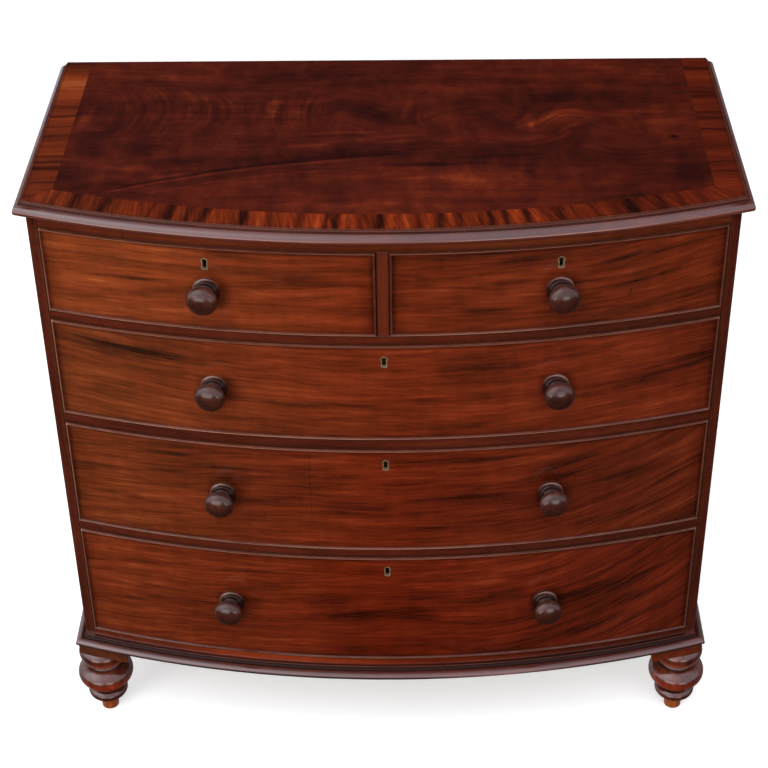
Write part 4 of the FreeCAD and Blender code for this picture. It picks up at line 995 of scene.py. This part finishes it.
pine = softwood("pine_carcase", 41, [(0.0, lin(112, 76, 44)), (0.35, lin(164, 120, 76)), (0.6, lin(192, 148, 100)),
                                     (1.0, lin(220, 180, 130))])
back = softwood("pine_back", 43, [(0.0, lin(62, 40, 26)), (0.35, lin(98, 66, 42)), (0.6, lin(126, 88, 58)),
                                  (1.0, lin(156, 116, 80))], 0.5, (0.7, 0.88), 0.5, 0.75,
                (-0.2907, -0.0969, 0.0969, 0.2907))
give("base_moulding", moulding)
give("top_board", top_edge)
give("side_left", side)
give("side_right", side)
give("front_stiles", stile)
give("centre_muntin", muntin)
give("top_rail", top_rail)
for nm in ("drawer_rail_upper", "drawer_rail_middle", "drawer_rail_lower"):
    give(nm, rail)
give("bottom_rail", low_rail)
give("foot_blocks", block)
give("turned_feet", foot_wood())
for nm in ("centre_partition", "drawer_runners_and_stops", "dustboards", "bottom_board"):
    give(nm, pine)
give("back_boards", back)

for nm in NODES:
    if nm in ("front_stiles", "centre_muntin", "top_rail", "drawer_rail_upper", "drawer_rail_middle",
              "drawer_rail_lower", "bottom_rail"):
        finish_mesh(nm, 30.0, 0.0006)
    elif nm in ("side_left", "side_right", "foot_blocks"):
        finish_mesh(nm, 30.0, 0.0010)
    elif nm in ("back_boards",):
        finish_mesh(nm, 30.0, 0.0012)
    elif nm.endswith("_sides_and_back"):
        finish_mesh(nm, 30.0, 0.0004)
    elif "knob" in nm or nm in ("turned_feet", "top_board", "base_moulding") or nm.endswith("cockbead"):
        finish_mesh(nm, 44.0)
    else:
        finish_mesh(nm, 30.0)

# ---------------------------------------------------------------- stage
scene = bpy.context.scene


def floor():
    """A pale sheet under the chest that fades into the white behind it."""
    rings, seg, radius = 48, 96, 6.0
    verts, faces = [(0.0, 0.0, 0.0)], []
    for r in range(1, rings + 1):
        d = radius * (r / rings) ** 1.5
        for k in range(seg):
            a = 2 * math.pi * k / seg
            verts.append((d * math.cos(a), d * math.sin(a), 0.0))
    for k in range(seg):
        faces.append((0, 1 + k, 1 + (k + 1) % seg))
    for r in range(1, rings):
        i, j = 1 + (r - 1) * seg, 1 + r * seg
        for k in range(seg):
            k2 = (k + 1) % seg
            faces.append((i + k, j + k, j + k2, i + k2))
    me = bpy.data.meshes.new("floor")
    me.from_pydata(verts, [], faces)
    o = bpy.data.objects.new("floor", me)
    scene.collection.objects.link(o)
    s = Surface("pale_floor")
    n = s.noise(s.scaled(s.obj, (3.0, 3.0, 3.0)), 4.0, 0.6)
    col = s.mix(s.remap(n, 0.3, 0.7), (0.80, 0.80, 0.80, 1.0), (0.83, 0.83, 0.83, 1.0))
    s.set(col, 0.9, None, Specular_IOR_Level=0.1, Emission_Color=(1.0, 1.0, 1.0, 1.0), Emission_Strength=0.50)
    clear = s.nt.nodes.new("ShaderNodeBsdfTransparent")
    fade = s.nt.nodes.new("ShaderNodeMixShader")
    r = s.vmath("LENGTH", s.obj, key="Value")
    s.nt.links.new(s.remap(r, 1.6, 4.5, 0.0, 1.0, smooth=True), fade.inputs[0])
    s.nt.links.new(s.bsdf.outputs[0], fade.inputs[1])
    s.nt.links.new(clear.outputs[0], fade.inputs[2])
    s.nt.links.new(fade.outputs[0], s.out.inputs[0])
    me.materials.append(s.mat)
    o.visible_glossy = False
    o.visible_diffuse = False
    return o


floor()


def area(name, at, to, size, size_y, power, color=(1.0, 1.0, 1.0)):
    li = bpy.data.lights.new(name, "AREA")
    li.shape = "RECTANGLE"
    li.size, li.size_y = size, size_y
    li.energy = power
    li.color = color
    o = bpy.data.objects.new(name, li)
    scene.collection.objects.link(o)
    o.location = at
    d = Vector(to) - Vector(at)
    o.rotation_euler = d.to_track_quat("-Z", "Y").to_euler()
    o.visible_glossy = False
    return o


area("softbox_over", (-0.2, -1.75, 3.2), (0.0, -0.9, 0.3), 3.2, 2.8, 118.0, (0.97, 0.975, 1.0))
area("softbox_front_left", (-2.8, -2.7, 1.1), (0.0, 0.0, 0.6), 1.3, 1.0, 53.0, (1.0, 0.97, 0.93))
area("softbox_front_right", (2.5, -2.9, 1.9), (0.0, 0.0, 0.5), 1.5, 1.4, 17.0, (1.0, 0.98, 0.96))

world = bpy.data.worlds.new("studio")
scene.world = world
world.use_nodes = True
wn, wl = world.node_tree.nodes, world.node_tree.links
wn.clear()
w_out = wn.new("ShaderNodeOutputWorld")
w_co = wn.new("ShaderNodeTexCoord")
w_sep = wn.new("ShaderNodeSeparateXYZ")
wl.new(w_co.outputs["Generated"], w_sep.inputs[0])


def w_range(value, a, b, c=0.0, d=1.0, smooth=False):
    n = wn.new("ShaderNodeMapRange")
    n.interpolation_type = "SMOOTHSTEP" if smooth else "LINEAR"
    wl.new(value, n.inputs["Value"])
    n.inputs["From Min"].default_value, n.inputs["From Max"].default_value = a, b
    n.inputs["To Min"].default_value, n.inputs["To Max"].default_value = c, d
    return n.outputs[0]


w_height = w_range(w_sep.outputs[2], -1.0, 1.0)


def sky(stops, strength=1.0):
    """A background that changes from straight down, 0, through level, 0.5, to straight up, 1."""
    ramp, bg = wn.new("ShaderNodeValToRGB"), wn.new("ShaderNodeBackground")
    el = ramp.color_ramp.elements
    while len(el) < len(stops):
        el.new(0.5)
    for e, (p, c) in zip(el, stops):
        e.position = p
    for e, (p, c) in zip(el, stops):
        e.color = (*c, 1.0)
    wl.new(w_height, ramp.inputs[0])
    wl.new(ramp.outputs[0], bg.inputs["Color"])
    bg.inputs["Strength"].default_value = strength
    return bg.outputs[0]


def w_mix(fac, a, b):
    n = wn.new("ShaderNodeMixShader")
    wl.new(fac, n.inputs[0])
    wl.new(a, n.inputs[1])
    wl.new(b, n.inputs[2])
    return n.outputs[0]


soft = sky([(0.0, (0.16, 0.155, 0.15)), (0.5, (0.22, 0.22, 0.225)), (1.0, (0.62, 0.63, 0.66))])
# what the polish mirrors: a bright sky to the front, brightest on the left, dark behind and below
dark_ground = (0.003, 0.003, 0.003)
front_right = sky([(0.0, dark_ground), (0.37, dark_ground), (0.41, (0.34, 0.34, 0.37)), (0.46, (0.54, 0.54, 0.61)),
                   (0.56, (0.62, 0.62, 0.71)), (0.90, (0.64, 0.64, 0.73)), (0.97, (0.60, 0.60, 0.68)),
                   (1.0, (0.56, 0.56, 0.64))], 1.52)
front_left = sky([(0.0, dark_ground), (0.37, dark_ground), (0.41, (0.30, 0.30, 0.32)), (0.46, (0.50, 0.50, 0.55)),
                  (0.56, (0.60, 0.60, 0.66)), (0.80, (0.86, 0.86, 0.92)), (0.91, (1.0, 0.99, 1.0)),
                  (0.97, (0.74, 0.74, 0.80))], 2.75)
behind = sky([(0.0, dark_ground), (0.06, (0.12, 0.12, 0.125)), (0.36, (0.14, 0.14, 0.145)), (0.50, dark_ground), (0.86, dark_ground), (0.91, (0.26, 0.26, 0.30)), (0.95, (0.48, 0.48, 0.55)),
              (1.0, (0.56, 0.56, 0.64))], 1.52)
side_left = sky([(0.0, dark_ground), (0.06, (0.15, 0.15, 0.155)), (0.30, (0.22, 0.22, 0.225)), (0.42, (0.46, 0.46, 0.50)), (0.58, (0.62, 0.62, 0.68)),
                 (0.80, (0.52, 0.52, 0.58)), (0.88, dark_ground), (0.90, dark_ground),
                 (1.0, (0.56, 0.56, 0.64))], 1.52)
side_right = sky([(0.0, dark_ground), (0.06, (0.08, 0.08, 0.083)), (0.30, (0.10, 0.10, 0.105)), (0.44, (0.15, 0.15, 0.165)), (0.58, (0.22, 0.22, 0.24)),
                  (0.78, (0.16, 0.16, 0.18)), (0.86, dark_ground), (0.90, dark_ground),
                  (1.0, (0.56, 0.56, 0.64))], 1.52)
# a low bright opening on either side of the middle
opening = sky([(0.0, dark_ground), (0.350, dark_ground), (0.380, (1.0, 0.97, 0.95)), (0.450, (1.0, 0.97, 0.95)),
               (0.490, dark_ground), (1.0, dark_ground)], 2.4)


def w_math(op, a, b):
    n = wn.new("ShaderNodeMath")
    n.operation = op
    for i, c in enumerate((a, b)):
        if isinstance(c, bpy.types.NodeSocket):
            wl.new(c, n.inputs[i])
        else:
            n.inputs[i].default_value = c
    return n.outputs[0]


w_x, w_y = w_sep.outputs[0], w_sep.outputs[1]
to_left = w_range(w_x, 0.15, -0.75, smooth=True)
to_front = w_range(w_y, 0.25, -0.25, smooth=True)
far_left = w_range(w_x, -0.28, -0.42, smooth=True)
far_right = w_range(w_x, 0.28, 0.42, smooth=True)
gap_left = w_math("MULTIPLY", w_range(w_x, -0.76, -0.60, smooth=True), w_range(w_x, -0.08, -0.20, smooth=True))
gap_right = w_math("MULTIPLY", w_range(w_x, 0.08, 0.18, smooth=True), w_range(w_x, 0.56, 0.46, smooth=True))
either = w_math("MULTIPLY", w_math("ADD", gap_left, gap_right), to_front)
rear = w_mix(far_right, w_mix(far_left, behind, side_left), side_right)
mirrored = w_mix(to_front, rear, w_mix(to_left, front_right, front_left))
low_light, both = wn.new("ShaderNodeMixShader"), wn.new("ShaderNodeAddShader")
wl.new(either, low_light.inputs[0])
wl.new(opening, low_light.inputs[2])
wl.new(mirrored, both.inputs[0])
wl.new(low_light.outputs[0], both.inputs[1])
mirrored = both.outputs[0]
white = wn.new("ShaderNodeBackground")
white.inputs["Color"].default_value = (1.0, 1.0, 1.0, 1.0)
w_path = wn.new("ShaderNodeLightPath")
lit = w_mix(w_path.outputs["Is Glossy Ray"], soft, mirrored)
wl.new(w_mix(w_path.outputs["Is Camera Ray"], lit, white.outputs[0]), w_out.inputs[0])

scene.view_settings.view_transform = "Standard"
scene.view_settings.look = "None"
scene.view_settings.exposure = 0.0
scene.view_settings.gamma = 1.0
scene.cycles.use_denoising = True

# ---------------------------------------------------------------- camera
PITCH, YAW, ROLL = 0.6234161628092691, -0.021369688996757785, -0.016555416619132568
fwd = Vector((math.sin(YAW) * math.cos(PITCH), math.cos(YAW) * math.cos(PITCH), -math.sin(PITCH)))
right = Vector((math.cos(YAW), -math.sin(YAW), 0.0))
up = right.cross(fwd)
r2 = right * math.cos(ROLL) + up * math.sin(ROLL)
u2 = -right * math.sin(ROLL) + up * math.cos(ROLL)
cam = bpy.data.cameras.new("camera")
cam.sensor_fit = "HORIZONTAL"
cam.sensor_width = 36.0
cam.lens = 1845.7426 / 768.0 * 36.0
cam.clip_start, cam.clip_end = 0.1, 60.0
cam_o = bpy.data.objects.new("camera", cam)
scene.collection.objects.link(cam_o)
m = Matrix((
    (r2.x, u2.x, -fwd.x, 0.045497),
    (r2.y, u2.y, -fwd.y, -2.395753),
    (r2.z, u2.z, -fwd.z, 2.286606),
    (0.0, 0.0, 0.0, 1.0)))
cam_o.matrix_world = m
scene.camera = cam_o

bpy.context.view_layer.update()
